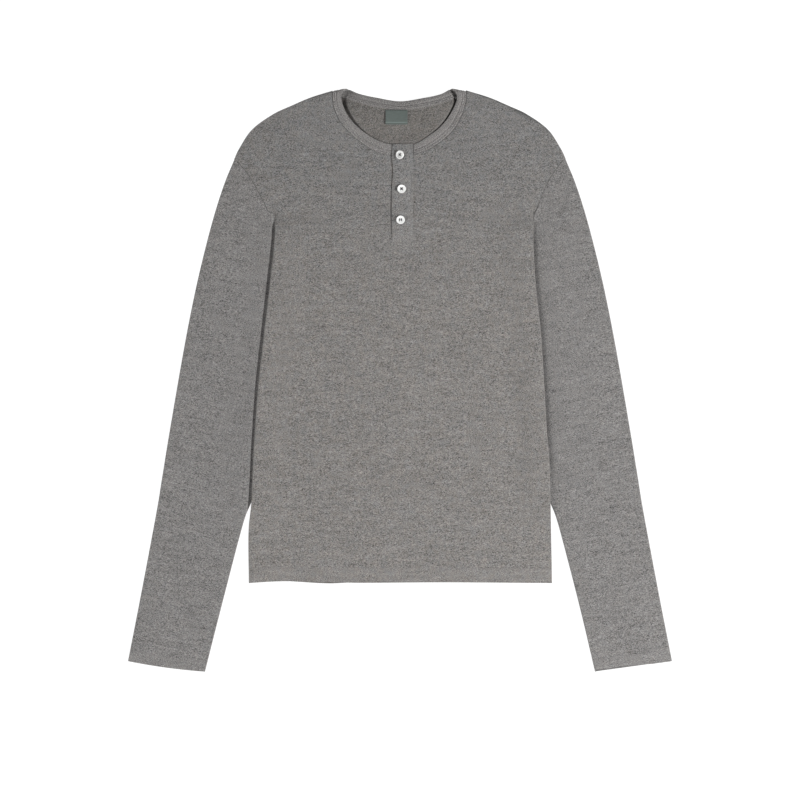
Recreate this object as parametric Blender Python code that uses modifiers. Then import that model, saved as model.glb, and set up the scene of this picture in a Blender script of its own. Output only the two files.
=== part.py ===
"""A long-sleeved henley shirt laid flat on its back, front up.

Metres. The shirt lies on the plane Z = 0, +Y runs towards the neck and +X to the wearer's left.
Each cut piece is a sheet along the middle of its cloth, and a Solidify modifier gives it its wall.
"""

import math
from bisect import bisect_right
from collections import namedtuple

import bmesh
import bpy
from mathutils import Vector

# Cloth
JERSEY = 0.0012  # wall of the body and sleeves
BAND = 0.0018  # wall of the neckband, jersey folded double
PLACKET = 0.0016  # wall of the top placket, jersey folded double
SEAM_GAP = 0.0003  # between neighbouring pieces
EDGE_GAP = 0.0006  # between front and back along the rounded edges
AIR = 0.0009  # between the upper and the lower layer where they lie on each other

# Layers, as heights of the middle of the cloth
LOWER = JERSEY / 2
LAYER_STEP = JERSEY + AIR
UPPER = LOWER + LAYER_STEP
TUBE_HEIGHT = LAYER_STEP + JERSEY

# The body rides over the sleeves' underarm edges
TUCK_LIFT = TUBE_HEIGHT + SEAM_GAP
LIFT_FULL = 0.014  # inward from the side edge, lifted all the way
LIFT_END = 0.046  # inward from the side edge, back on the floor
LIFT_TOP = (0.204, 0.226)  # y where the lift is full, and where it starts below the underarm
LIFT_BOTTOM = (-0.168, -0.204)  # y where the lift is full, and where it ends above the hem

# The sleeve on the wearer's right stands up in a soft roll beside the body
ROLL_HEIGHT = 0.0034
ROLL_START = 0.0002  # outward from the groove
ROLL_CREST = (0.0022, 0.008)
ROLL_END = 0.050
ROLL_TOP = (0.185, 0.214)
ROLL_BOTTOM = (-0.110, -0.165)

# The front stands off the back at the neck's two high points
NECK_RISE = 0.0036
NECK_RISE_REACH = 0.090

# Side edges of the body, hem to underarm. valley is the width of the dark groove beside the left edge.
SideRow = namedtuple("SideRow", "y left right valley")
SIDES = (
    SideRow(-0.2750, -0.2055, 0.2067, 0.0),
    SideRow(-0.2030, -0.2064, 0.2055, 0.0),
    SideRow(-0.1670, -0.2033, 0.2054, 0.0),
    SideRow(-0.0670, -0.1969, 0.2010, 0.0004),
    SideRow(0.0010, -0.1918, 0.1961, 0.0024),
    SideRow(0.0690, -0.1839, 0.1915, 0.0040),
    SideRow(0.1240, -0.1768, 0.1859, 0.0048),
    SideRow(0.1750, -0.1711, 0.1828, 0.0046),
    SideRow(0.2050, -0.1694, 0.1815, 0.0026),
    SideRow(0.2260, -0.1700, 0.1822, 0.0),
)
UNDERARM = SIDES[-1]

# Hem of the front and of the back, which shows a little below it
HemRow = namedtuple("HemRow", "x front back")
HEM = (
    HemRow(-0.2055, -0.2752, -0.2752),
    HemRow(-0.1630, -0.2728, -0.2726),
    HemRow(-0.0980, -0.2735, -0.2758),
    HemRow(-0.0600, -0.2748, -0.2744),
    HemRow(0.0600, -0.2742, -0.2742),
    HemRow(0.2067, -0.2752, -0.2752),
)

# Armhole seams, underarm to shoulder tip
ArmholeRow = namedtuple("ArmholeRow", "left_x left_y right_x right_y")
ARMHOLE = (
    ArmholeRow(UNDERARM.left, UNDERARM.y, UNDERARM.right, UNDERARM.y),
    ArmholeRow(-0.1790, 0.2295, 0.1866, 0.2330),
    ArmholeRow(-0.1855, 0.2420, 0.1915, 0.2470),
    ArmholeRow(-0.1935, 0.2570, 0.1988, 0.2640),
    ArmholeRow(-0.2075, 0.2805, 0.2085, 0.2815),
    ArmholeRow(-0.2252, 0.3010, 0.2249, 0.3020),
)

# Shoulder line, tip to neck, as half widths
ShoulderRow = namedtuple("ShoulderRow", "half y")
SHOULDER = (
    ShoulderRow(0.2250, 0.3015),
    ShoulderRow(0.2195, 0.3135),
    ShoulderRow(0.2013, 0.3407),
    ShoulderRow(0.1714, 0.3624),
    ShoulderRow(0.1475, 0.3733),
    ShoulderRow(0.1218, 0.3842),
    ShoulderRow(0.0890, 0.3943),
)
NECK_POINT = SHOULDER[-1]

# Sleeves, armhole to cuff: outer edge as half width, underarm edge on each side
SleeveRow = namedtuple("SleeveRow", "outer_half outer_y inner_y inner_left inner_right")
SLEEVE = (
    SleeveRow(0.2380, 0.2700, 0.2130, -0.1712, 0.1830),
    SleeveRow(0.2510, 0.2300, 0.1960, -0.1710, 0.1826),
    SleeveRow(0.2650, 0.1780, 0.1560, -0.1650, 0.1750),
    SleeveRow(0.2790, 0.1180, 0.1000, -0.1690, 0.1780),
    SleeveRow(0.2940, 0.0415, 0.0240, -0.1790, 0.1850),
    SleeveRow(0.3128, -0.0673, -0.0860, -0.1915, 0.1955),
    SleeveRow(0.3240, -0.1360, -0.1545, -0.1992, 0.2014),
    SleeveRow(0.3305, -0.1761, -0.1940, -0.2130, 0.2146),
    SleeveRow(0.3509, -0.2849, -0.3020, -0.2413, 0.2428),
    SleeveRow(0.3697, -0.3812, -0.3955, -0.2650, 0.2650),
)

# Neckline: the band's free edge and its seam, from the placket up to each neck point, and across the back
NeckRow = namedtuple("NeckRow", "free_x free_y seam_x seam_y")
NECK_RIGHT_FRONT = (  # wearer's right
    NeckRow(-0.0116, 0.3211, -0.0116, 0.3056),
    NeckRow(-0.0220, 0.3229, -0.0265, 0.3085),
    NeckRow(-0.0356, 0.3287, -0.0422, 0.3159),
    NeckRow(-0.0492, 0.3373, -0.0576, 0.3268),
    NeckRow(-0.0628, 0.3491, -0.0725, 0.3403),
    NeckRow(-0.0721, 0.3611, -0.0832, 0.3547),
    NeckRow(-0.0782, 0.3747, -0.0900, 0.3709),
    NeckRow(-0.0800, 0.3860, -0.0920, 0.3860),
)
NECK_LEFT_FRONT = (  # wearer's left
    NeckRow(0.0183, 0.3206, 0.0183, 0.3066),
    NeckRow(0.0270, 0.3243, 0.0325, 0.3115),
    NeckRow(0.0354, 0.3298, 0.0437, 0.3165),
    NeckRow(0.0510, 0.3407, 0.0608, 0.3288),
    NeckRow(0.0626, 0.3529, 0.0746, 0.3430),
    NeckRow(0.0714, 0.3665, 0.0838, 0.3602),
    NeckRow(0.0768, 0.3790, 0.0889, 0.3760),
    NeckRow(0.0775, 0.3860, 0.0898, 0.3860),
)
NECK_BACK = (
    NeckRow(-0.0680, 0.3938, -0.0765, 0.3850),
    NeckRow(-0.0544, 0.3892, -0.0575, 0.3790),
    NeckRow(-0.0313, 0.3842, -0.0330, 0.3727),
    NeckRow(0.0000, 0.3794, 0.0000, 0.3679),
    NeckRow(0.0313, 0.3838, 0.0330, 0.3720),
    NeckRow(0.0544, 0.3888, 0.0575, 0.3780),
    NeckRow(0.0665, 0.3938, 0.0750, 0.3842),
)
FOLD_Y = 0.3913  # where the band starts to turn over the neck point
FOLD_RIGHT = (-0.0790, -0.0920)  # x of its free edge and seam there, wearer's right
FOLD_LEFT = (0.0757, 0.0898)
FOLD_TRAVEL = (0.75, 0.5)  # how far towards the first back row its free edge and seam get while turning

# Placket, neck to lower end: the open edge waves a little
PlacketRow = namedtuple("PlacketRow", "y open_edge")
PLACKET_ROWS = (
    PlacketRow(0.1905, -0.0118),
    PlacketRow(0.2250, -0.0122),
    PlacketRow(0.2650, -0.0117),
    PlacketRow(0.2860, -0.0100),
    PlacketRow(0.3060, -0.0124),
    PlacketRow(0.3212, -0.0109),
)
PLACKET_SEWN_EDGE = 0.0178
PLACKET_END = 0.1880
NOTCH = (-0.0116, 0.0119)  # x of the slit notch in the front
NOTCH_END = 0.1910
NOTCH_CUT = (0.0200, 0.0100)  # how far the cut runs on past the neck, and up from the floor

# Buttons
BUTTON_RADIUS = 0.00575
BUTTON_HEIGHT = 0.0021
BUTTON_RIM = 0.0012  # width of the raised rim
BUTTON_DISH = 0.0006  # depth inside the rim
BUTTON_SOFT = (0.0004, 0.0007)  # rounding of the rim's outer edge: inward, and down
BUTTON_FOOT = (0.0008, 0.0008)  # rounding of its underside: inward, and up
HOLE_RADIUS = 0.00085
HOLE_SPREAD = 0.0018  # from the centre to each hole
BUTTON_SIDES = 20
HOLE_SIDES = 6
ButtonRow = namedtuple("ButtonRow", "x y tilt")  # tilt: its edge on the wearer's left is up, in degrees
BUTTONS = (
    ButtonRow(0.0003, 0.3060, 28),
    ButtonRow(0.0022, 0.2600, 0),
    ButtonRow(0.0008, 0.2180, 0),
)

# Neck label
LABEL_SIZE = (0.0298, 0.0200, 0.0010)
LABEL_CENTRE = (-0.0047, 0.3573)
LABEL_EDGE = 0.0002

# How finely the sheets are divided
CHEST_STOPS = (0.0, 0.04, 0.085, 0.13, 0.21, 0.31, 0.42)  # across the body, from each side
ARMHOLE_STOPS = (0.0, 0.12, 0.27, 0.45, 0.65, 0.84, 1.0)  # underarm to shoulder tip
YOKE_RINGS = (0.0, 0.1, 0.24, 0.42, 0.6, 0.8, 1.0)  # neckline to armholes and chest line
BAND_STEPS = 11  # from the placket to the neck point
BACK_NECK_STEPS = 21
BODY_ROWS = (-0.235, -0.204, -0.186, -0.168, -0.085, -0.015, 0.055, 0.120, 0.170, 0.204, 0.215)
SLEEVE_ROWS = (0, 0.5, 1, 1.5, 2, 2.5, 3, 3.5, 4, 4.5, 5, 5.5, 6, 6.5, 7, 7.5, 8, 8.6, 9.3, 10)
SLEEVE_COLUMNS = (0.0, 0.0010, ROLL_CREST[0], ROLL_CREST[1], 0.018, 0.032, ROLL_END)  # out from the groove
SLEEVE_BEYOND = 2  # columns between the roll and the outer edge
SLEEVE_EDGE_CLEAR = 0.0005  # from the turned underarm edge to the first of those columns
BOW_ROWS = 2.6  # rows of the sleeve that bow to follow the armhole
BLEND_ROWS = 1.5  # rows over which the columns leave their places at the armhole
ARMHOLE_UPPER = (0.06, 0.12, 0.20, 0.27, 0.36, 0.45, 0.65, 0.84, 0.92)  # the same columns at the armhole
ARMHOLE_LOWER = ARMHOLE_STOPS[1:-1]
ROUND_ANGLES = (0, 30, 60, 90)  # round the edges, from the outline inward
LEAST_LEAN = 0.3  # keeps a turned edge's points near the edge where a column runs along it
FOLD_ANGLES = (90, 60, 30, 0, -30, -60, -90)
WELD = 0.000002


# Curves and heights

def smoothstep(start, end, value):
    t = min(max((value - start) / (end - start), 0.0), 1.0)
    return t * t * (3 - 2 * t)


def read_curve(keys, values, at):
    """A smooth curve through values at rising keys, read at one place."""
    last = len(keys) - 1
    at = min(max(at, keys[0]), keys[-1])
    i = min(max(bisect_right(keys, at) - 1, 0), last - 1)

    def slope(k):
        before, after = max(k - 1, 0), min(k + 1, last)
        return (values[after] - values[before]) / (keys[after] - keys[before])

    span = keys[i + 1] - keys[i]
    t = (at - keys[i]) / span
    return (
        values[i] * (2 * t**3 - 3 * t**2 + 1)
        + slope(i) * span * (t**3 - 2 * t**2 + t)
        + values[i + 1] * (3 * t**2 - 2 * t**3)
        + slope(i + 1) * span * (t**3 - t**2)
    )


def read_table(rows, key, column, at):
    pairs = sorted((getattr(row, key), getattr(row, column)) for row in rows)
    return read_curve([place for place, value in pairs], [value for place, value in pairs], at)


def read_path(points, fraction):
    """The place at a fraction of the length of a smooth path."""
    lengths = [0.0]
    for before, after in zip(points, points[1:]):
        lengths.append(lengths[-1] + (after - before).length)
    return read_curve(lengths, points, fraction * lengths[-1])


def shoulder_y(x):
    return read_table(SHOULDER, "half", "y", abs(x))


def body_lift(x, y):
    """How far the body is raised where the sleeves are tucked under its sides."""
    if y >= UNDERARM.y:
        return 0.0
    inward = min(x - read_table(SIDES, "y", "left", y), read_table(SIDES, "y", "right", y) - x)
    rise = 1 - smoothstep(LIFT_TOP[0], LIFT_TOP[1], y)
    fall = smoothstep(LIFT_BOTTOM[1], LIFT_BOTTOM[0], y)
    return TUCK_LIFT * rise * fall * (1 - smoothstep(LIFT_FULL, LIFT_END, inward))


def back_height(x, y):
    return LOWER + body_lift(x, y)


def front_height(x, y):
    from_neck_point = math.hypot(abs(x) - NECK_POINT.half, y - NECK_POINT.y)
    return UPPER + body_lift(x, y) + NECK_RISE * (1 - smoothstep(0.0, NECK_RISE_REACH, from_neck_point))


def edge_radius(x, y):
    return (front_height(x, y) - back_height(x, y) - EDGE_GAP) / 2


def round_steps(radius):
    """How far inward from a rounded edge its points lie."""
    return [radius * (1 - math.cos(math.radians(angle))) for angle in ROUND_ANGLES]


def body_height(x, y, side, angle):
    """Middle of the front's cloth (side 1) or the back's (side -1), at an angle round its turned edge.

    The turned side edge runs out into the flat layer at the underarm, where the sleeve is sewn on.
    """
    low, high = back_height(x, y), front_height(x, y)
    flat = high if side > 0 else low
    turned = (low + high) / 2 + side * (EDGE_GAP / 2 + edge_radius(x, y) * math.sin(math.radians(angle)))
    if y > UNDERARM.y:
        return turned
    return turned + (flat - turned) * smoothstep(BODY_ROWS[-1], UNDERARM.y, y)


# Making objects

def clear_scene():
    for thing in list(bpy.data.objects):
        bpy.data.objects.remove(thing, do_unlink=True)


def new_collection(name):
    collection = bpy.data.collections.new(name)
    bpy.context.scene.collection.children.link(collection)
    return collection


def material(name, colour, roughness, metallic=0.0):
    finish = bpy.data.materials.new(name)
    finish.use_nodes = True
    shader = finish.node_tree.nodes["Principled BSDF"]
    shader.inputs["Base Color"].default_value = (*colour, 1.0)
    shader.inputs["Roughness"].default_value = roughness
    shader.inputs["Metallic"].default_value = metallic
    return finish


def add_object(name, shape, collection):
    mesh = bpy.data.meshes.new(name)
    shape.to_mesh(mesh)
    shape.free()
    thing = bpy.data.objects.new(name, mesh)
    collection.objects.link(thing)
    return thing


def sheet(name, grids, wall, finish, collection, closed=False):
    """Grids of points joined into a sheet of cloth of the given wall. A closed sheet's rows are rings."""
    shape = bmesh.new()
    for rows in grids:
        grid = [[shape.verts.new(point) for point in row] for row in rows]
        columns = len(rows[0])
        for lower, upper in zip(grid, grid[1:]):
            for i in range(columns if closed else columns - 1):
                j = (i + 1) % columns
                shape.faces.new((lower[i], lower[j], upper[j], upper[i]))
    bmesh.ops.remove_doubles(shape, verts=shape.verts, dist=WELD)
    bmesh.ops.recalc_face_normals(shape, faces=shape.faces)
    cloth = add_object(name, shape, collection)
    cloth.data.shade_smooth()
    cloth.data.materials.append(finish)
    wall_modifier = cloth.modifiers.new("Cloth", "SOLIDIFY")
    wall_modifier.thickness = wall
    wall_modifier.offset = 0.0
    return cloth


def cut(target, cutter, name):
    cutter.hide_render = True
    cutter.display_type = "WIRE"
    boolean = target.modifiers.new(name, "BOOLEAN")
    boolean.operation = "DIFFERENCE"
    boolean.object = cutter


def box(name, low, high, collection):
    shape = bmesh.new()
    bmesh.ops.create_cube(shape, size=1.0)
    size = Vector(high) - Vector(low)
    bmesh.ops.scale(shape, vec=size, verts=shape.verts)
    block = add_object(name, shape, collection)
    block.location = (Vector(low) + Vector(high)) / 2
    return block


# Body

def plan(x, y):
    return Vector((x, y))


def armhole_point(side, fraction):
    """From the underarm to the shoulder tip, straight between the stops."""
    if side < 0:
        seam = [plan(row.left_x, row.left_y) for row in ARMHOLE]
    else:
        seam = [plan(row.right_x, row.right_y) for row in ARMHOLE]
    i = min(bisect_right(ARMHOLE_STOPS, fraction), len(ARMHOLE_STOPS) - 1)
    before, after = ARMHOLE_STOPS[i - 1], ARMHOLE_STOPS[i]
    part = (fraction - before) / (after - before)
    return read_path(seam, before).lerp(read_path(seam, after), part)


def set_back(points, distance):
    """A path of points moved to its right by a distance."""
    moved = []
    for i, point in enumerate(points):
        along = points[min(i + 1, len(points) - 1)] - points[max(i - 1, 0)]
        moved.append(point + Vector((along.y, -along.x)).normalized() * distance)
    return moved


def spread(rows, steps):
    """Free and seam points spread evenly along a stretch of the neckline."""
    free = [plan(row.free_x, row.free_y) for row in rows]
    seam = [plan(row.seam_x, row.seam_y) for row in rows]
    keys = list(range(len(rows)))
    places = [i * (len(rows) - 1) / steps for i in range(steps + 1)]
    return [(read_curve(keys, free, place), read_curve(keys, seam, place)) for place in places]


def fold_end(fold, back_row):
    """Free and seam points of the band where its fold reaches the back layer."""
    free = plan(fold[0], FOLD_Y).lerp(plan(back_row.free_x, back_row.free_y), FOLD_TRAVEL[0])
    seam = plan(fold[1], FOLD_Y).lerp(plan(back_row.seam_x, back_row.seam_y), FOLD_TRAVEL[1])
    return free, seam


def neck_point(seam_x):
    """Where the shoulder line meets the neckline, beside the band's seam."""
    x = seam_x + math.copysign(SEAM_GAP, seam_x)
    return plan(x, shoulder_y(x))


def front_neckline():
    """From the right neck point down round the front to the left one, just outside the band's seam."""
    seam = [point for free, point in reversed(spread(NECK_RIGHT_FRONT, BAND_STEPS))]
    seam += [point for free, point in spread(NECK_LEFT_FRONT, BAND_STEPS)]
    return [neck_point(FOLD_RIGHT[1])] + set_back(seam, SEAM_GAP) + [neck_point(FOLD_LEFT[1])]


def back_neckline():
    """Between the neck points across the back, just outside the band's seam."""
    seam = [fold_end(FOLD_RIGHT, NECK_BACK[0])[1]]
    seam += [point for free, point in spread(NECK_BACK, BACK_NECK_STEPS)]
    seam += [fold_end(FOLD_LEFT, NECK_BACK[-1])[1]]
    return [neck_point(FOLD_RIGHT[1])] + set_back(seam, SEAM_GAP) + [neck_point(FOLD_LEFT[1])]


def shoulder_line(side, start):
    """From the neck point out to the shoulder tip, a point for each ring of the yoke."""
    middle = [plan(side * row.half, row.y) for row in reversed(SHOULDER[1:-1])]
    return [read_path([start] + middle + [armhole_point(side, 1.0)], ring) for ring in YOKE_RINGS]


def turned_edge(edge, directions):
    """Columns of points just inside a rounded edge, from the outline inward."""
    columns = [[] for angle in ROUND_ANGLES]
    for i, (point, direction) in enumerate(zip(edge, directions)):
        along = edge[min(i + 1, len(edge) - 1)] - edge[max(i - 1, 0)]
        normal = Vector((-along.y, along.x)).normalized()
        lean = max(abs(direction.dot(normal)), LEAST_LEAN)
        for column, step in zip(columns, round_steps(edge_radius(*point))):
            column.append(point + direction * (JERSEY / 2 + step) / lean)
    return columns


def shoulder_columns(edge, neck_next, armhole_next):
    """The shoulder's turned edge. Its ends run along the neckline and along the armhole."""
    directions = []
    for i in range(len(edge)):
        along = edge[min(i + 1, len(edge) - 1)] - edge[max(i - 1, 0)]
        across = Vector((-along.y, along.x)).normalized()
        directions.append(across if across.y < 0 else -across)
    directions[0] = (neck_next - edge[0]).normalized()
    directions[-1] = (armhole_next - edge[-1]).normalized()
    return turned_edge(edge, directions)


def chest_row(y):
    left, right = read_table(SIDES, "y", "left", y), read_table(SIDES, "y", "right", y)
    stops = CHEST_STOPS + tuple(1 - stop for stop in reversed(CHEST_STOPS))
    return [plan(left + (right - left) * stop, y) for stop in stops]


def yoke(neckline):
    """Columns from the neckline out to the armholes and the chest line."""
    outer = [armhole_point(-1, stop) for stop in reversed(ARMHOLE_STOPS[1:])] + chest_row(UNDERARM.y)
    outer += [armhole_point(1, stop) for stop in ARMHOLE_STOPS[1:]]
    last = len(neckline) - 1
    left, right = shoulder_line(-1, neckline[0]), shoulder_line(1, neckline[last])
    columns = shoulder_columns(left, neckline[1], outer[1])
    for i in range(1, last):
        u = i / last
        column = []
        for ring, start, end in zip(YOKE_RINGS, left, right):
            bow_left = start - neckline[0].lerp(outer[0], ring)
            bow_right = end - neckline[last].lerp(outer[last], ring)
            column.append(neckline[i].lerp(outer[i], ring) + bow_left * (1 - u) + bow_right * u)
        columns.append(column)
    return columns + list(reversed(shoulder_columns(right, neckline[last - 1], outer[last - 1])))


def skirt(hem_column):
    """Rows from the hem up to the chest line, where the turned side edges run out at the underarms."""
    hem = [plan(point.x, read_table(HEM, "x", hem_column, point.x)) for point in chest_row(SIDES[0].y)]
    rows = [hem] + [chest_row(y) for y in BODY_ROWS]
    rounded = []
    for row in rows:
        steps = [JERSEY / 2 + step for step in round_steps(edge_radius(*row[0]))]
        start = [row[0] + plan(step, 0.0) for step in steps]
        end = [row[-1] - plan(step, 0.0) for step in reversed(steps)]
        rounded.append(start + row[1:-1] + end)
    top = chest_row(UNDERARM.y)
    turns = len(ROUND_ANGLES)
    return rounded + [[top[0]] * turns + top[1:-1] + [top[-1]] * turns]


def body_panel(name, side, neckline, hem_column, finish, collection):
    def angles(lines):
        return ROUND_ANGLES + (90,) * (len(lines) - 2 * len(ROUND_ANGLES)) + ROUND_ANGLES[::-1]

    def raised(point, angle):
        return (point.x, point.y, body_height(point.x, point.y, side, angle))

    columns = yoke(neckline)
    upper = [[raised(point, angle) for point in line] for line, angle in zip(columns, angles(columns))]
    lower = [[raised(point, angle) for point, angle in zip(row, angles(row))] for row in skirt(hem_column)]
    return sheet(name, [upper, lower], JERSEY, finish, collection)


# Sleeves

def sleeve_line(side, place):
    """Outer and underarm ends of the row at a place, 0 at the armhole and 10 at the cuff."""
    outer = [armhole_point(side, 1.0)] + [plan(side * row.outer_half, row.outer_y) for row in SLEEVE]
    column = "inner_left" if side < 0 else "inner_right"
    inner = [armhole_point(side, 0.0) + plan(side * JERSEY, 0.0)]
    inner += [plan(getattr(row, column), row.inner_y) for row in SLEEVE]
    keys = list(range(len(outer)))
    return read_curve(keys, outer, place), read_curve(keys, inner, place)


def sleeve_point(side, place, from_inner):
    """A point of a row, from its underarm edge to its outer one. The first rows bow to the armhole."""
    outer, inner = sleeve_line(side, place)
    tip, underarm = sleeve_line(side, 0)
    seam = armhole_point(side, from_inner) + plan(side * SEAM_GAP, -SEAM_GAP)
    bow = (seam - underarm.lerp(tip, from_inner)) * (1 - smoothstep(0.0, BOW_ROWS, place))
    return inner.lerp(outer, from_inner) + bow


def shown_edge(side, y):
    """x of the line where the body's edge, or the groove beside it, starts to hide the sleeve."""
    if side < 0:
        return read_table(SIDES, "y", "left", y) - read_table(SIDES, "y", "valley", y)
    return read_table(SIDES, "y", "right", y)


def sleeve_top(side, x, y):
    """Middle of the sleeve's upper layer, with the roll beside the body on the wearer's right."""
    if side > 0:
        return UPPER
    out = shown_edge(side, y) - x
    shape = smoothstep(ROLL_START, ROLL_CREST[0], out) * (1 - smoothstep(ROLL_CREST[1], ROLL_END, out))
    window = (1 - smoothstep(ROLL_TOP[0], ROLL_TOP[1], y)) * smoothstep(ROLL_BOTTOM[1], ROLL_BOTTOM[0], y)
    return UPPER + ROLL_HEIGHT * shape * window


def sleeve_ring(side, place):
    """Once round the flattened tube, from the underarm edge over the top and back below."""
    outer, inner = sleeve_line(side, place)
    width = (inner - outer).length
    radius = LAYER_STEP / 2
    turns = [(JERSEY / 2 + step) / width for step in round_steps(radius)]
    away = smoothstep(0.0, BLEND_ROWS, place)

    hidden = side * (shown_edge(side, inner.y) - inner.x)
    first = max(JERSEY / 2 + radius + SLEEVE_EDGE_CLEAR, hidden)
    upper = [(first + column) / width for column in SLEEVE_COLUMNS]
    step = (1 - turns[-1] - upper[-1]) / (SLEEVE_BEYOND + 1)
    upper += [upper[-1] + step * i for i in range(1, SLEEVE_BEYOND + 1)]
    upper = [start + (end - start) * away for start, end in zip(ARMHOLE_UPPER, upper)]
    step = 1 / (len(ARMHOLE_LOWER) + 1)
    lower = [start + (step * i - start) * away for i, start in enumerate(ARMHOLE_LOWER, start=1)]

    def at(from_inner, height=None):
        point = sleeve_point(side, place, from_inner)
        return (point.x, point.y, sleeve_top(side, *point) if height is None else height)

    rises = [radius * math.sin(math.radians(angle)) for angle in ROUND_ANGLES]
    middle = LOWER + radius
    under_edge_top = [at(turn, middle + rise) for turn, rise in zip(turns, rises)]
    outer_edge_top = [at(1 - turn, middle + rise) for turn, rise in zip(turns, rises)]
    outer_edge_low = [at(1 - turn, middle - rise) for turn, rise in zip(turns[1:], rises[1:])]
    under_edge_low = [at(turn, middle - rise) for turn, rise in zip(turns[1:], rises[1:])]
    return (
        under_edge_top
        + [at(column) for column in upper]
        + list(reversed(outer_edge_top))
        + outer_edge_low
        + [at(column, LOWER) for column in reversed(lower)]
        + list(reversed(under_edge_low))
    )


def sleeve(name, side, finish, collection):
    rings = [sleeve_ring(side, place) for place in SLEEVE_ROWS]
    return sheet(name, [rings], JERSEY, finish, collection, closed=True)


# Neckband, placket, label and buttons

def band_line(free, seam, free_z, seam_z):
    middle = free.lerp(seam, 0.5)
    return [(*seam, seam_z), (*middle, (free_z + seam_z) / 2), (*free, free_z)]


def neck_fold(front, back_row):
    """The band turning over the neck point, from the front layer down to the back one."""
    free_front, seam_front = plan(front[0], FOLD_Y), plan(front[1], FOLD_Y)
    free_back, seam_back = fold_end(front, back_row)
    high, low = front_height(front[1], FOLD_Y), BAND / 2
    radius = (high - low) / 2
    lines = []
    for angle in FOLD_ANGLES:
        turn = (90 - angle) / 180
        out = plan(0.0, radius * math.cos(math.radians(angle)))
        height = (high + low) / 2 + radius * math.sin(math.radians(angle))
        free = free_front.lerp(free_back, turn) + out
        seam = seam_front.lerp(seam_back, turn) + out
        lines.append(band_line(free, seam, height, height))
    return lines


def neckband(finish, collection):
    def front_lines(rows):
        pairs = spread(rows, BAND_STEPS)
        return [band_line(free, seam, front_height(*free), front_height(*seam)) for free, seam in pairs]

    right, left = front_lines(NECK_RIGHT_FRONT), front_lines(NECK_LEFT_FRONT)
    back = [band_line(free, seam, BAND / 2, BAND / 2) for free, seam in spread(NECK_BACK, BACK_NECK_STEPS)]
    right_fold = neck_fold(FOLD_RIGHT, NECK_BACK[0])
    left_fold = neck_fold(FOLD_LEFT, NECK_BACK[-1])
    rows = right + right_fold + back + list(reversed(left_fold)) + list(reversed(left))
    return sheet("neckband", [rows], BAND, finish, collection)


def plackets(finish, collection):
    level = front_height(0.0, NOTCH_END)
    top_level = level + JERSEY / 2 + SEAM_GAP + PLACKET / 2
    rows = []
    for row in (PlacketRow(PLACKET_END, PLACKET_ROWS[0].open_edge),) + PLACKET_ROWS:
        middle = (row.open_edge + PLACKET_SEWN_EDGE) / 2
        rows.append([(x, row.y, top_level) for x in (row.open_edge, middle, PLACKET_SEWN_EDGE)])
    sheet("placket_top", [rows], PLACKET, finish, collection)

    left, right = NOTCH[0] + SEAM_GAP, NOTCH[1] - SEAM_GAP
    ends = (NOTCH_END + SEAM_GAP, PLACKET_ROWS[-1].y - SEAM_GAP)
    rows = [[(x, y, level) for x in (left, right)] for y in ends]
    sheet("placket_under", [rows], JERSEY, finish, collection)
    return top_level + PLACKET / 2


def label(finish, collection):
    width, length, thickness = LABEL_SIZE
    floor = back_height(*LABEL_CENTRE) + JERSEY / 2 + SEAM_GAP
    low = (LABEL_CENTRE[0] - width / 2, LABEL_CENTRE[1] - length / 2, floor)
    high = (LABEL_CENTRE[0] + width / 2, LABEL_CENTRE[1] + length / 2, floor + thickness)
    tag = box("neck_label", low, high, collection)
    tag.data.materials.append(finish)
    edge = tag.modifiers.new("Soft edges", "BEVEL")
    edge.width = LABEL_EDGE
    edge.segments = 1


def button_profile():
    """Outer half of the section at +X, from the top centre out over the rim to the bottom centre."""
    dish = BUTTON_HEIGHT - BUTTON_DISH
    inner = BUTTON_RADIUS - BUTTON_RIM
    return (
        (0.0, dish),
        (inner - BUTTON_DISH, dish),
        (inner, BUTTON_HEIGHT),
        (BUTTON_RADIUS - BUTTON_SOFT[0], BUTTON_HEIGHT),
        (BUTTON_RADIUS, BUTTON_HEIGHT - BUTTON_SOFT[1]),
        (BUTTON_RADIUS, BUTTON_FOOT[1]),
        (BUTTON_RADIUS - BUTTON_FOOT[0], 0.0),
        (0.0, 0.0),
    )


def turned_button(name, collection):
    shape = bmesh.new()
    profile = [shape.verts.new((radius, 0.0, height)) for radius, height in button_profile()]
    for start, end in zip(profile, profile[1:]):
        shape.edges.new((start, end))
    button = add_object(name, shape, collection)
    turn = button.modifiers.new("Turned", "SCREW")
    turn.steps = BUTTON_SIDES
    turn.render_steps = BUTTON_SIDES
    turn.use_merge_vertices = True
    turn.merge_threshold = WELD
    return button


def hole_cutter(name, collection):
    """Four pins that cut the thread holes of one button."""
    shape = bmesh.new()
    offset = HOLE_SPREAD / math.sqrt(2)
    for across, along in ((1, 1), (1, -1), (-1, 1), (-1, -1)):
        pin = bmesh.ops.create_cone(
            shape, cap_ends=True, segments=HOLE_SIDES,
            radius1=HOLE_RADIUS, radius2=HOLE_RADIUS, depth=3 * BUTTON_HEIGHT,
        )
        bmesh.ops.translate(shape, verts=pin["verts"], vec=(across * offset, along * offset, 0.0))
    return add_object(name, shape, collection)


def buttons(placket_surface, finish, collection, cutters):
    for number, row in enumerate(BUTTONS, start=1):
        tilt = math.radians(row.tilt)
        lowest = min(height * math.cos(tilt) - radius * math.sin(tilt) for radius, height in button_profile())
        button = turned_button(f"button_{number}", collection)
        button.data.materials.append(finish)
        pins = hole_cutter(f"button_{number}_holes", cutters)
        for thing in (button, pins):
            thing.location = (row.x, row.y, placket_surface + SEAM_GAP - lowest)
            thing.rotation_euler.y = -tilt
        cut(button, pins, "Thread holes")


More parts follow.
